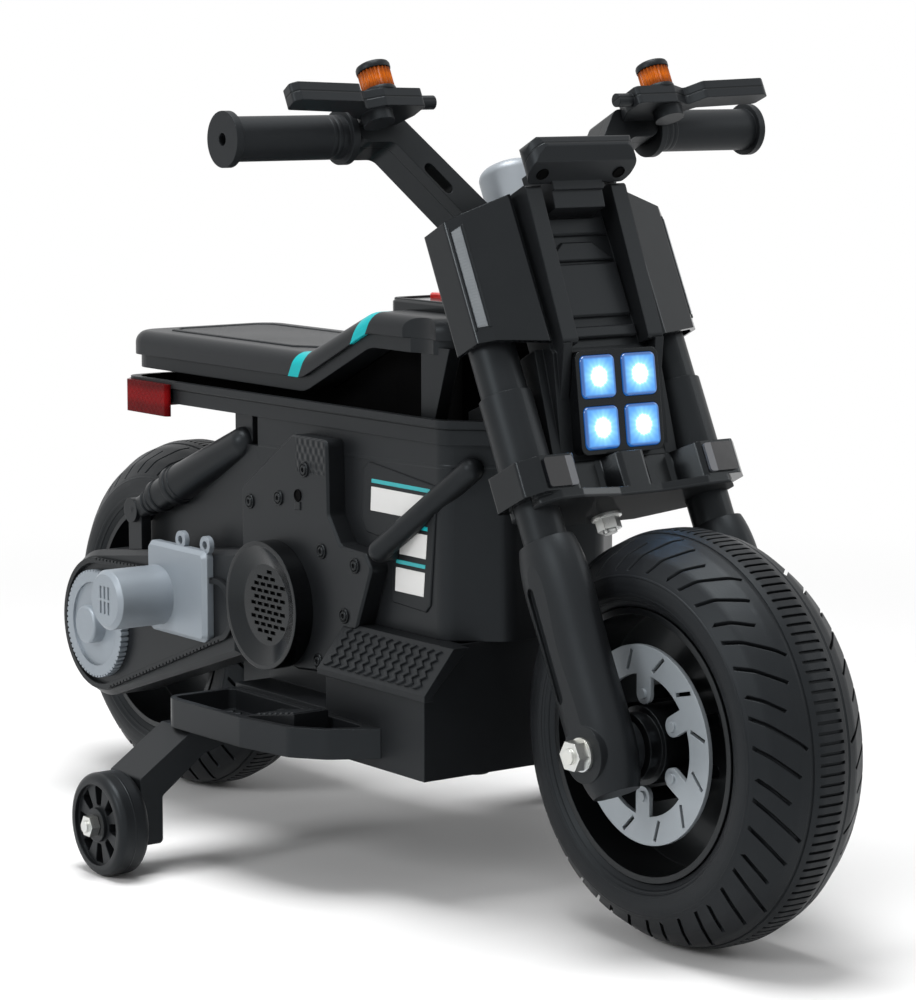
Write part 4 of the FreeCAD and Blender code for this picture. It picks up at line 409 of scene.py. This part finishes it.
def skin(rings, looped=False):
    """Points and faces over rings of points, closed at both ends, or looped from the last to the first."""
    count = len(rings[0])
    points = [point for ring in rings for point in ring]
    faces = []
    for level in range(len(rings) if looped else len(rings) - 1):
        here = level * count
        above = (level + 1) % len(rings) * count
        for k in range(count):
            n = (k + 1) % count
            faces.append([here + k, here + n, above + n, above + k])
    if not looped:
        faces.append(list(range(count)))
        faces.append(list(range(len(points) - count, len(points))))
    return points, faces


def plate(outline, low, high, edge, place):
    """A flat plate with a bevelled upper edge, from its outline, two heights and the bevel."""
    count = len(outline)
    middle = Vector((sum(a for a, b in outline) / count, sum(b for a, b in outline) / count))
    rings = []
    for height, inset in ((low, 0.0), (high - edge, 0.0), (high, edge)):
        ring = []
        for k, (a, b) in enumerate(outline):
            corner = Vector((a, b))
            back = (Vector(outline[k - 1]) - corner).normalized()
            ahead = (Vector(outline[(k + 1) % count]) - corner).normalized()
            inward = back + ahead
            if inward.length < 1e-6:
                inward = Vector((-ahead.y, ahead.x))
            inward.normalize()
            if inward.dot(middle - corner) < 0:
                inward = -inward
            spread = max(0.3, abs(inward.x * ahead.y - inward.y * ahead.x))
            corner += inward * (inset / spread)
            ring.append(place(corner.x, corner.y, height))
        rings.append(ring)
    return skin(rings)


def slab(low_a, high_a, low_b, high_b):
    """The outline of a rectangle."""
    return [(low_a, low_b), (high_a, low_b), (high_a, high_b), (low_a, high_b)]


def gathered(parts):
    """Several shapes as one."""
    points, faces = [], []
    for more_points, more_faces in parts:
        start = len(points)
        points += more_points
        faces += [[start + k for k in face] for face in more_faces]
    return points, faces


wear("front_shroud", satin_finish("shroud_satin_black", 0.0075))
panel_half = 0.0265
panel_root = -0.001
shroud_front = 0.0450


def shroud_face(v, w, out):
    return on_stem(shroud_front + out, v, w)


tent = [(-panel_half, 0.308), (panel_half, 0.308), (0.012, 0.321), (-0.012, 0.321)]
panels = [plate(tent, panel_root, 0.0022, 0.001, shroud_face)]
for foot, top, deep in ((0.2555, 0.2635, 0.0035), (0.270, 0.306, 0.0030), (0.3255, 0.3375, 0.0028)):
    panels.append(plate(slab(-panel_half, panel_half, foot, top), panel_root, deep, 0.0012, shroud_face))
piece("shroud_panels", gathered(panels), satin, "steering")

# Shoulder covers: two gloss side covers that snap over the fork tubes. A smoked reflector strip is let into
# the bevel of each, with a thin surround.
wear("shoulder_covers", gloss_finish("shoulder_gloss_black", 0.2, 0.005))
reflector, paint = finish("reflector_smoke")
flute = along(paint, stem_up).wave(0.002) * 0.5 + 0.5
cloud = paint.noise(40.0)
surface(reflector, {"Base Color": cloud.mix((0.085, 0.098, 0.11), (0.16, 0.175, 0.185)),
                    "Roughness": 0.16 + cloud * 0.1, "Coat Weight": 0.7,
                    "Normal": paint.bump(0.25, 0.0003, flute)})
bevel_u = 0.0375
bevel_v = 0.0835
half_root = math.sqrt(0.5)
strip_line = [(-0.0034, 0.2715), (0.0034, 0.2705), (0.0034, 0.3375), (-0.0034, 0.3355)]
for side, side_name in ((-1, "right"), (1, "left")):
    def bevel_face(a, w, out, side=side):
        return on_stem(bevel_u + half_root * (out + a), side * (bevel_v + half_root * (out - a)), w)

    strip_shape = plate(strip_line, -0.0008, 0.0011, 0.0006, bevel_face)
    piece("reflector_" + side_name, strip_shape, reflector, "steering")
    surround = []
    for a in (-0.0046, 0.0046):
        lip_line = slab(a - 0.0008, a + 0.0008, 0.2695, 0.3385)
        surround.append(plate(lip_line, -0.0008, 0.0008, 0.0005, bevel_face))
    piece("reflector_surround_" + side_name, gathered(surround), satin, "steering")


# Dash housing: two satin halves screwed together, with the screws sunk in wells underneath. A dark display
# window with plain dial rings is let into the face towards the rider.
def dash_seam(paint):
    split_ahead = 0.0840
    split_up = 0.3735
    tilted = along(paint, stem_up) - (along(paint, stem_ahead) - split_ahead) * 0.5
    return tilted.line(split_up, 0.0005, 0.0002)


def turned(profile, steps, place, flutes=0, flute_depth=0.0):
    """A turned form: profile points as (radius, height), with optional flutes round it."""
    rings = []
    for radius, height in profile:
        ring = []
        for k in range(steps):
            angle = 2 * math.pi * k / steps
            r = radius + flute_depth * math.cos(flutes * angle)
            ring.append(place(r * math.cos(angle), r * math.sin(angle), height))
        rings.append(ring)
    return skin(rings)


def dash_face(a, b, out):
    window_ahead = 0.0712
    window_up = 0.3780
    window_slope = 0.0444
    return on_stem(window_ahead + b, a, window_up + b * window_slope + out)


wear("dash_housing", satin_finish("dash_satin_black", 0.0105, seam=dash_seam))
# The screw wells are shallow rings with a near-black floor: painted shade standing in for the depth of the
# holes.
shade_well, paint = finish("screw_well_painted_shade")
shade_mottle = paint.noise(900.0)
surface(shade_well, {"Base Color": shade_mottle.mix((0.0006, 0.0006, 0.0007), (0.0016, 0.0016, 0.0017)),
              "Roughness": 0.5 + shade_mottle * 0.2, "Specular IOR Level": 0.03})
chin_run = Vector((0.912, 0.4105))
chin_middle = Vector((0.0696, 0.35832))
well_spread = 0.0305
well_profile = [(0.0044, -0.002), (0.0044, 0.0006), (0.0041, 0.0010), (0.0038, 0.0008), (0.0035, 0.0002),
                (0.0008, 0.0002)]
wells = []
for side in (-1, 1):
    def well_place(a, b, out, side=side):
        u = chin_middle.x + b * chin_run.x + out * chin_run.y
        w = chin_middle.y + b * chin_run.y - out * chin_run.x
        return on_stem(u, side * well_spread + a, w)

    wells.append(turned(well_profile, 24, well_place))
piece("dash_screw_wells", gathered(wells), shade_well, "steering")
window = gloss_finish("dash_window_gloss", 0.08, 0.006)
window_line = [(-0.0280, -0.0075), (0.0280, -0.0075), (0.0300, -0.0055), (0.0300, 0.0055),
               (0.0280, 0.0075), (-0.0280, 0.0075), (-0.0300, 0.0055), (-0.0300, -0.0055)]
window_top = 0.0010
window_shape = plate(window_line, -0.001, window_top, 0.0006, dash_face)
piece("dash_window", window_shape, window, "steering")
dial_profile = [(0.0062, -0.0004), (0.0062, 0.0004), (0.0058, 0.0006), (0.0054, 0.0004), (0.0053, -0.0004)]
dial_rings = []
for dial_y in (-0.0140, 0.0140):
    def dial_place(a, b, out, dial_y=dial_y):
        return dash_face(dial_y + a, b, window_top + out)

    dial_rings.append(turned(dial_profile, 40, dial_place))
piece("dash_dials", gathered(dial_rings), disc_silver, "steering")


# Handlebar risers and lever brackets: satin mouldings in two halves, bolted to the upper yoke.
# The brake levers are moulded in one with their brackets and do not move.
def riser_seam(paint):
    riser_split = 0.0085
    return along(paint, stem_ahead).line(riser_split, 0.0004, 0.0002)


def lever_seam(paint):
    lever_split = 0.4232
    return along(paint, stem_up).line(lever_split, 0.0005, 0.0002)


wear("risers", satin_finish("riser_satin_black", 0.0055, seam=riser_seam))
wear("lever_brackets", satin_finish("lever_satin_black", 0.0105, seam=lever_seam))


# Grips: soft rubber sleeves pushed over the bar ends, smooth in the hand with a flange at each end.
# Two rings are moulded in next to the inner flange.
def grip_relief(paint):
    x, y, z = paint.place()
    inner_ring = 0.1335
    outer_ring = 0.1375
    rings = abs(y).line(inner_ring, 0.0012, 0.0005) + abs(y).line(outer_ring, 0.0012, 0.0005)
    return rings * 1.4 + paint.noise(2400.0) * 0.3


wear("grips", satin_finish("grip_rubber_black", 0.0095, 0.5, relief=grip_relief))

# Turn lamps: amber fluted lenses under black caps, on a black foot that clips to the lever bracket.
# The amber is painted lighter round the middle and deeper at the foot and the cap: painted light and shade.
amber, paint = finish("amber_lens_painted_glow")
cloud = paint.noise(240.0)
# A lighter band round the middle of each lens is painted light; the ends stay deeper as painted shade.
painted_glow_middle = 0.4375
painted_glow_band = along(paint, stem_up).line(painted_glow_middle, 0.0030, 0.0035)
surface(amber, {"Base Color": (cloud * 0.5 + painted_glow_band * 0.5).mix((0.09, 0.011, 0.0), (0.62, 0.135, 0.0)),
                "Roughness": 0.14 + cloud * 0.1, "Coat Weight": 0.05, "Specular IOR Level": 0.14})
cap_satin = satin_finish("lamp_cap_satin", 0.006)
lamp_foot = Vector((0.0375, 0.1125, 0.429))
lens_profile = [(0.0096, 0.0020), (0.0100, 0.0030), (0.0100, 0.0150), (0.0097, 0.0160)]
cap_profile = [(0.0080, 0.0150), (0.0108, 0.0152), (0.0110, 0.0160), (0.0110, 0.0182), (0.0104, 0.0194),
               (0.0092, 0.0200), (0.0060, 0.0200), (0.0056, 0.0197), (0.0010, 0.0197)]
foot_profile = [(0.0104, -0.0004), (0.0110, 0.0002), (0.0110, 0.0018), (0.0106, 0.0026), (0.0090, 0.0030),
                (0.0010, 0.0030)]
for side, side_name in ((-1, "right"), (1, "left")):
    def lamp_place(a, b, w, side=side):
        return on_stem(lamp_foot.x + a, side * lamp_foot.y + b, lamp_foot.z + w)

    lens_shape = turned(lens_profile, 144, lamp_place, 24, 0.0005)
    lens_body = piece("turn_lens_" + side_name, lens_shape, amber, "steering", 60.0)
    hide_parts("turn_lamps")
    cap_shape = gathered([turned(cap_profile, 48, lamp_place), turned(foot_profile, 48, lamp_place)])
    piece("turn_cap_" + side_name, cap_shape, cap_satin, "steering")


# Top tray: the satin rail that carries the seat, with a lip round it.
# Its mould halves meet half way up the rail.
def tray_seam(paint):
    x, y, z = paint.place()
    rail_slope = 0.00505
    rail_split = 0.3106
    return (z - x * rail_slope).line(rail_split, 0.0004, 0.0002)


wear("top_tray", satin_finish("tray_satin_black", 0.008, seam=tray_seam))


# Body shells: two satin side shells screwed together in the middle plane, with a raised panel on each side
# that carries plain white bars and a teal edge.
def shell_relief(paint):
    x, y, z = paint.place()
    groove_slope = 0.03
    groove_height = 0.283
    return (z - x * groove_slope).line(groove_height, 0.0010, 0.0005) * 2.0


wear("body_shells", satin_finish("shell_satin_black", 0.0095, 0.4, relief=shell_relief))
bar_white, paint = finish("panel_white_film")
cloud = paint.noise(30.0)
surface(bar_white, {"Base Color": cloud.mix((0.62, 0.62, 0.61), (0.72, 0.72, 0.71)),
                    "Roughness": 0.25 + cloud * 0.1, "Coat Weight": 0.3})
bar_teal, paint = finish("panel_teal_film")
cloud = paint.noise(30.0)
surface(bar_teal, {"Base Color": cloud.mix((0.0, 0.30, 0.33), (0.0, 0.38, 0.41)),
                   "Roughness": 0.28 + cloud * 0.1, "Coat Weight": 0.2})
backing_line = [(0.066, 0.192), (0.104, 0.190), (0.109, 0.195), (0.116, 0.268), (0.112, 0.274),
                (0.040, 0.282), (0.034, 0.278), (0.031, 0.244), (0.037, 0.235), (0.066, 0.232)]
film = (0.0010, 0.0015, 0.0002)
shell_half = 0.0700
for side, side_name in ((-1, "right"), (1, "left")):
    def shell_face(a, b, out, side=side):
        return Vector((a, side * (shell_half + out), b))

    backing_shape = plate(backing_line, -0.001, 0.0012, 0.0006, shell_face)
    piece("panel_backing_" + side_name, backing_shape, satin, "chassis")
    whites, teals = [], []
    for foot, low_x, high_x in ((0.2000, 0.0700, 0.1020), (0.2250, 0.0720, 0.1045), (0.2500, 0.0420, 0.1070)):
        white_line = [(low_x, foot), (high_x, foot), (high_x + 0.0016, foot + 0.0160),
                      (low_x + 0.0010, foot + 0.0160)]
        teal_line = [(low_x + 0.0012, foot + 0.0185), (high_x + 0.0018, foot + 0.0185),
                     (high_x + 0.0021, foot + 0.0212), (low_x + 0.0014, foot + 0.0212)]
        whites.append(plate(white_line, *film, shell_face))
        teals.append(plate(teal_line, *film, shell_face))
    piece("panel_bars_white_" + side_name, gathered(whites), bar_white, "chassis")
    piece("panel_bars_teal_" + side_name, gathered(teals), bar_teal, "chassis")


# Tread decks: sloping steps in front of the footrests, part of the lower chassis. Zigzag bars stand up
# from them so that a shoe does not slip.
def zigzag(first, reach, count, height, place):
    """Zigzag bars side by side: each is a ribbon that swings from side to side along its reach."""
    pitch, swing, half_foot, half_top, root = 0.0092, 0.0021, 0.0024, 0.00154, -0.0006
    steps = 9
    bars = []
    for bar in range(count):
        rings = []
        for k in range(steps + 1):
            a = first + bar * pitch + (swing if k % 2 else -swing)
            b = reach[0] + (reach[1] - reach[0]) * k / steps
            rings.append([place(a - half_foot, b, root), place(a + half_foot, b, root),
                          place(a + half_top, b, height), place(a - half_top, b, height)])
        bars.append(skin(rings))
    return gathered(bars)


tread = satin_finish("tread_satin_black", 0.0095, 0.4)
deck_foot = Vector((0.0, -0.105, 0.146))
deck_run = Vector((0.0, 0.023, 0.028)).normalized()
deck_out = Vector((0.0, -0.028, 0.023)).normalized()
for side, side_name in ((-1, "right"), (1, "left")):
    def deck_face(a, b, out, side=side):
        spot = deck_foot + deck_run * b + deck_out * out
        return Vector((a, -side * spot.y, spot.z))

    deck_shape = zigzag(0.0365, (0.0035, 0.0325), 12, 0.0013, deck_face)
    piece("deck_tread_" + side_name, deck_shape, tread, "chassis")


# Seat: a moulded shell in two halves that meet in a line all round. The sitting area is a framed inlay with
# a fine diamond grain, and teal stripes cross the sides at the bend and at the top of the ramp. The core
# under it is painted near black with a dull finish: painted shade for the dark space under the seat.
def diamonds(paint):
    x, y, z = paint.place()
    diamond = 0.0052
    return (x + y).wave(diamond) * (x - y).wave(diamond) * 1.1


def seat_face(a, b, out):
    seat_top = 0.3470
    return Vector((a, b, seat_top + out))


seat_finish, paint = finish("seat_satin_black")
x, y, z = paint.place()
grain = paint.noise(1200.0, 3.0)
cloud = paint.noise(11.0, 3.0)
stripe_slant = 0.55
stripe_start = 0.0505
rear_stripe = (x - (z - 0.340) * stripe_slant).line(-0.0530, 0.0062, 0.0002)
front_stripe = (x - (z - 0.372) * stripe_slant).line(0.0255, 0.0066, 0.0002)
stripes = (rear_stripe + front_stripe) * abs(y).above(stripe_start, 0.0002)
black = cloud.mix((0.0056, 0.0060, 0.0068), (0.0098, 0.0102, 0.0114))
surface(seat_finish, {"Base Color": stripes.mix(black, (0.0, 0.36, 0.385)), "Roughness": 0.36 + cloud * 0.1,
                      "Normal": paint.bump(0.3, 0.0005, grain * 0.4, 0.0012),
                      "Specular IOR Level": 0.22, "Specular Tint": sky_tint})
wear("seat_pad", seat_finish)
base_satin_and_shade = satin_finish("seat_base_satin_and_painted_shade", 0.0075)
paint = Paint(base_satin_and_shade.node_tree)
x, y, z = paint.place()
shade_mottle = paint.noise(60.0)
# The middle of the seat base is painted near black through a second shader: painted shade under the seat.
core_half = 0.0415
core = 1.0 - abs(y).above(core_half, 0.0010)
outer_face = Paint(base_satin_and_shade.node_tree, base_satin_and_shade.node_tree.nodes["Principled BSDF"].outputs[0])
core_painted_shade = shade_mottle.mix((0.001, 0.001, 0.0011), (0.003, 0.003, 0.0032))
core_shade_shader = paint.node("BsdfPrincipled", {}, {"Base Color": core_painted_shade, "Roughness": 0.8,
                                              "Specular IOR Level": 0.03})
blend = paint.node("MixShader", {}, {0: core, 1: outer_face, 2: core_shade_shader})
base_satin_and_shade.node_tree.links.new(blend.socket, base_satin_and_shade.node_tree.nodes["Material Output"].inputs["Surface"])
wear("seat_base", base_satin_and_shade)
seat_middle = -0.1635
frame_line = [(-0.2610, -0.0350), (-0.2510, -0.0450), (-0.0900, -0.0450), (-0.0660, -0.0300),
              (-0.0660, 0.0300), (-0.0900, 0.0450), (-0.2510, 0.0450), (-0.2610, 0.0350)]
frame_rings = []
for inset, out in ((0.0, -0.0010), (0.0, 0.0006), (0.015, 0.0012), (0.04, 0.0012), (0.055, 0.0004),
                   (0.055, -0.0010)):
    long_share = 1.0 - inset * 0.6
    wide_share = 1.0 - inset * 1.25
    frame_rings.append([seat_face(seat_middle + (a - seat_middle) * long_share, b * wide_share, out)
                        for a, b in frame_line])
piece("seat_frame", skin(frame_rings, True), seat_finish, "chassis")
inlay_finish = satin_finish("seat_inlay_grain", 0.0085, 0.4, relief=diamonds)
inlay_line = [(seat_middle + (a - seat_middle) * 0.955, b * 0.905) for a, b in frame_line]
inlay_shape = plate(inlay_line, -0.0010, 0.0004, 0.0003, seat_face)
piece("seat_inlay", inlay_shape, inlay_finish, "chassis")


# Tank console: a gloss plate on the tank with two red push keys. A raised rim runs round it, and a dark
# window shows the charge.
def console_face(a, b, out):
    console_top = 0.3860
    return Vector((a, b, console_top + out))


wear("tank_console", gloss_finish("console_gloss_black", 0.16, 0.005))
key_red, paint = finish("key_red_gloss")
cloud = paint.noise(120.0)
x, y, z = paint.place()
ridge = (x.wave(0.002) * 0.5 + 0.5) * abs(y).line(0.0, 0.0045, 0.0005)
surface(key_red, {"Base Color": cloud.mix((0.42, 0.008, 0.006), (0.56, 0.015, 0.010)),
                  "Roughness": 0.2 + cloud * 0.1, "Coat Weight": 0.5,
                  "Normal": paint.bump(0.25, 0.0004, ridge)})
wear("start_button", key_red)
wear("direction_button", key_red)
console_middle = 0.044
console_half = Vector((0.034, 0.031))
rim_corner = 0.0035
rim_line = []
for ahead, left, first in ((1, 1, 0), (-1, 1, 90), (-1, -1, 180), (1, -1, 270)):
    for k in range(5):
        angle = math.radians(first + 22.5 * k)
        rim_line.append((ahead * (console_half.x - rim_corner) + rim_corner * math.cos(angle),
                         left * (console_half.y - rim_corner) + rim_corner * math.sin(angle)))
rim_rings = []
for inset, out in ((0.0, -0.0006), (0.0, 0.0006), (0.0006, 0.0011), (0.0016, 0.0011), (0.0022, 0.0006),
                   (0.0022, -0.0006)):
    long_share = 1.0 - inset / console_half.x
    wide_share = 1.0 - inset / console_half.y
    rim_rings.append([console_face(console_middle + a * long_share, b * wide_share, out)
                      for a, b in rim_line])
piece("console_rim", skin(rim_rings, True), rim_gloss, "chassis")
charge_shape = plate(slab(0.0610, 0.0690, -0.0120, 0.0120), -0.0006, 0.0007, 0.0004, console_face)
piece("console_window", charge_shape, window, "chassis")

# Tail light: a red lens that wraps round the back of the tray, with small prisms moulded behind its face.
# It is unlit, so the red is deep.
red_lens, paint = finish("tail_lens_red")
x, y, z = paint.place()
prism_pitch = 0.006
band_height = 0.3035
prisms = z.wave(prism_pitch) * (x + y).wave(prism_pitch)
cloud = paint.noise(60.0, 3.0)
band = z.line(band_height, 0.0050, 0.0030)
surface(red_lens, {"Base Color": (cloud * 0.5 + band * 0.4).mix((0.045, 0.001, 0.0015), (0.22, 0.004, 0.005)),
                   "Roughness": 0.16 + cloud * 0.1, "Normal": paint.bump(0.06, 0.0006, prisms, 0.0015),
                   "Specular IOR Level": 0.05, "Specular Tint": (1.0, 0.55, 0.55, 1.0)})
wear("tail_light", red_lens)


# Side plates: thick satin plates screwed over the shells, with a scaled patch at the top of each.
# The screws sit in raised ring wells and have a hexagon socket, drawn here as a round recess.
def scale_patch(paint):
    x, y, z = paint.place()
    patch_foot = 0.2700
    patch_middle = -0.0105
    patch_half = 0.0170
    patch = z.above(patch_foot, 0.0004) * x.line(patch_middle, patch_half, 0.0005)
    return patch * x.wave(0.0066) * z.wave(0.0101) * 2.4


wear("side_plates", satin_finish("side_plate_satin_black", 0.0085, 0.38, relief=scale_patch))
screw_black = satin_finish("screw_black", 0.005, 0.3)
plate_half = 0.0840
plate_low = Vector((-0.0965, 0.134))
plate_span = Vector((0.1575, 0.160))
screw_shares = ((0.3, 0.72), (0.5, 0.86), (0.07, 0.68), (0.63, 0.53), (0.88, 0.5), (0.8, 0.28), (0.6, 0.06))
screw_profile = [(0.0052, -0.0006), (0.0052, 0.0009), (0.0047, 0.0013), (0.0042, 0.0012), (0.0039, 0.0003),
                 (0.0034, 0.0003), (0.0033, 0.0012), (0.0027, 0.0016), (0.0017, 0.0016), (0.0016, 0.0002),
                 (0.0003, 0.0002)]
screws = []
for side in (-1, 1):
    for share_x, share_z in screw_shares:
        screw_x = plate_low.x + plate_span.x * share_x
        screw_z = plate_low.y + plate_span.y * share_z

        def screw_place(a, b, out, side=side, screw_x=screw_x, screw_z=screw_z):
            return Vector((screw_x + a, side * (plate_half + out), screw_z + b))

        screws.append(turned(screw_profile, 18, screw_place))
plate_screws = piece("plate_screws", gathered(screws), screw_black, "chassis", 25.0)
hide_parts("body_screws")


# Charging inlet: a small round port with a flap below it, in the right side plate only.
# The port is a shallow well with a thin lip, its floor painted near black: painted shade for the depth of the
# hole.
def inlet_place(a, b, out):
    inlet_x = -0.0256
    inlet_z = 0.2535
    return Vector((inlet_x + a, -plate_half - out, inlet_z + b))


inlet_profile = [(0.0042, -0.0006), (0.0042, 0.0005), (0.0039, 0.0009), (0.0035, 0.0008), (0.0032, 0.0002),
                 (0.0008, 0.0002)]
flap_line = slab(-0.0034, 0.0034, -0.0098, -0.0042)
piece("charge_inlet", turned(inlet_profile, 32, inlet_place), shade_well, "chassis")
flap_shape = plate(flap_line, -0.0006, 0.0008, 0.0004, inlet_place)
piece("charge_flap", flap_shape, screw_black, "chassis")

# Loudspeaker horns: gloss dishes with a slotted grille. The loudspeaker stands behind the right one,
# with a ringed paper cone.
wear("speaker_horns", gloss_finish("horn_gloss_black", 0.18, 0.003))
cone, paint = finish("speaker_cone_grey")
x, y, z = paint.place()
cone_x = -0.052
cone_z = 0.176
ring_pitch = 0.0026
rings = (((x - cone_x) ** 2.0 + (z - cone_z) ** 2.0) ** 0.5).wave(ring_pitch) * 0.5 + 0.5
surface(cone, {"Base Color": rings.mix((0.004, 0.004, 0.0045), (0.014, 0.014, 0.015)),
               "Roughness": 0.55 + rings * 0.1, "Normal": paint.bump(0.4, 0.0005, rings)})
wear("loudspeaker", cone)

# Shock absorbers: fixed mouldings in the shape of a telescopic damper, with collars where the tubes step.
# A thin fin under each fills the space down to the drive casing.
wear("shocks", satin_finish("shock_satin_black", 0.0085, 0.36))
collar_edge = 0.0008
collar_depth = 0.004
collar_bevel = 0.0010
for side, side_name in ((-1, "right"), (1, "left")):
    low = Vector((-0.243, side * 0.079, 0.219))
    high = Vector((-0.121, side * 0.066, 0.279))
    run = high - low
    axis = run.normalized()
    first = axis.cross(stem_left).normalized()
    second = axis.cross(first)

    def shock_place(a, b, h, low=low, axis=axis, first=first, second=second):
        return low + first * a + second * b + axis * h

    collars = []
    for share, radius, half in ((0.21, 0.0126, 0.0030), (0.37, 0.0148, 0.0030), (0.42, 0.0143, 0.0014),
                                (0.11, 0.0096, 0.0014), (0.15, 0.0096, 0.0014)):
        foot = share * run.length - half
        top = share * run.length + half
        collars.append(turned([(radius - collar_depth, foot), (radius - collar_edge, foot),
                               (radius, foot + collar_bevel), (radius, top - collar_bevel),
                               (radius - collar_edge, top), (radius - collar_depth, top)], 40, shock_place))
    piece("shock_collars_" + side_name, gathered(collars), satin, "chassis")

# Drive casing: a satin case beside the rear wheel with the gears inside, and a plain twin on the left.
# A moulded toothed belt runs round its outside to the silver pulley and motor cover.
wear("drive_cover", satin_finish("drive_case_satin_black", 0.0095, 0.36))
wear("swingarm_left", satin_finish("left_case_satin_black", 0.0095, 0.36))
nylon, paint = finish("gear_nylon")
cloud = paint.noise(70.0)
surface(nylon, {"Base Color": cloud.mix((0.62, 0.60, 0.52), (0.72, 0.70, 0.63)),
                "Roughness": 0.45 + cloud * 0.1})
for gear_node in ("drive_gear", "reduction_gear", "head_bushes"):
    wear(gear_node, nylon)
brass, paint = finish("pinion_brass")
cloud = paint.noise(200.0)
surface(brass, {"Base Color": cloud.mix((0.50, 0.34, 0.11), (0.62, 0.44, 0.17)), "Metallic": 1.0,
                "Roughness": 0.3 + cloud * 0.1})
wear("motor_pinion", brass)
wear("drive_motor", zinc)

# Battery, control box and pedal switch: closed plain cases inside the chassis and under the pedal.
# They are plain grey plastic.
inner_case = satin_finish("inner_case_grey", 0.03, 0.5)
for inner_node in ("battery", "control_box", "pedal_switch"):
    wear(inner_node, inner_case)

# Footrests and accelerator: satin trays with a raised rim and zigzag bars on the floor. The pedal in the
# right one has ridges across its top and tips down at the front.
wear("footrests", satin_finish("footrest_satin_black", 0.010, 0.36))
wear("accelerator_pedal", satin_finish("pedal_satin_black", 0.0095, 0.36))
rest_top = 0.1010
for side, side_name, count in ((-1, "right", 5), (1, "left", 13)):
    def rest_floor(a, b, out, side=side):
        return Vector((a, side * b, rest_top + out))

    rest_shape = zigzag(-0.0700, (0.1075, 0.1425), count, 0.0012, rest_floor)
    piece("footrest_tread_" + side_name, rest_shape, tread, "chassis")
pedal_low = Vector((-0.014, -0.1205, 0.1106))
pedal_high = Vector((0.044, -0.1205, 0.12072))
pedal_run = (pedal_high - pedal_low).normalized()
pedal_out = Vector((-pedal_run.z, 0.0, pedal_run.x))


def pedal_face(a, b, out):
    return pedal_low + pedal_run * a + stem_left * b + pedal_out * out


ridge_count = 7
ridge_start = 0.010
ridge_pitch = 0.0068
ridge_half = 0.0115
ridges = []
for k in range(ridge_count):
    foot = ridge_start + k * ridge_pitch
    ridge_line = slab(foot, foot + ridge_pitch / 2, -ridge_half, ridge_half)
    ridges.append(plate(ridge_line, -0.0006, 0.0011, 0.0008, pedal_face))
piece("pedal_ridges", gathered(ridges), tread, "accelerator_pedal")


# Stabiliser wheels: hard black plastic wheels with eight windows, free on their bolts.
# A thin mould line runs round the middle of the tread.
def roller_relief(paint):
    x, y, z = paint.place()
    roller_middle = 0.2035
    return abs(y).line(roller_middle, 0.0004, 0.0003) * 1.2


roller = satin_finish("stabiliser_satin_black", 0.0085, 0.4, relief=roller_relief)
wear("stabiliser_wheel_right", roller)
wear("stabiliser_wheel_left", roller)
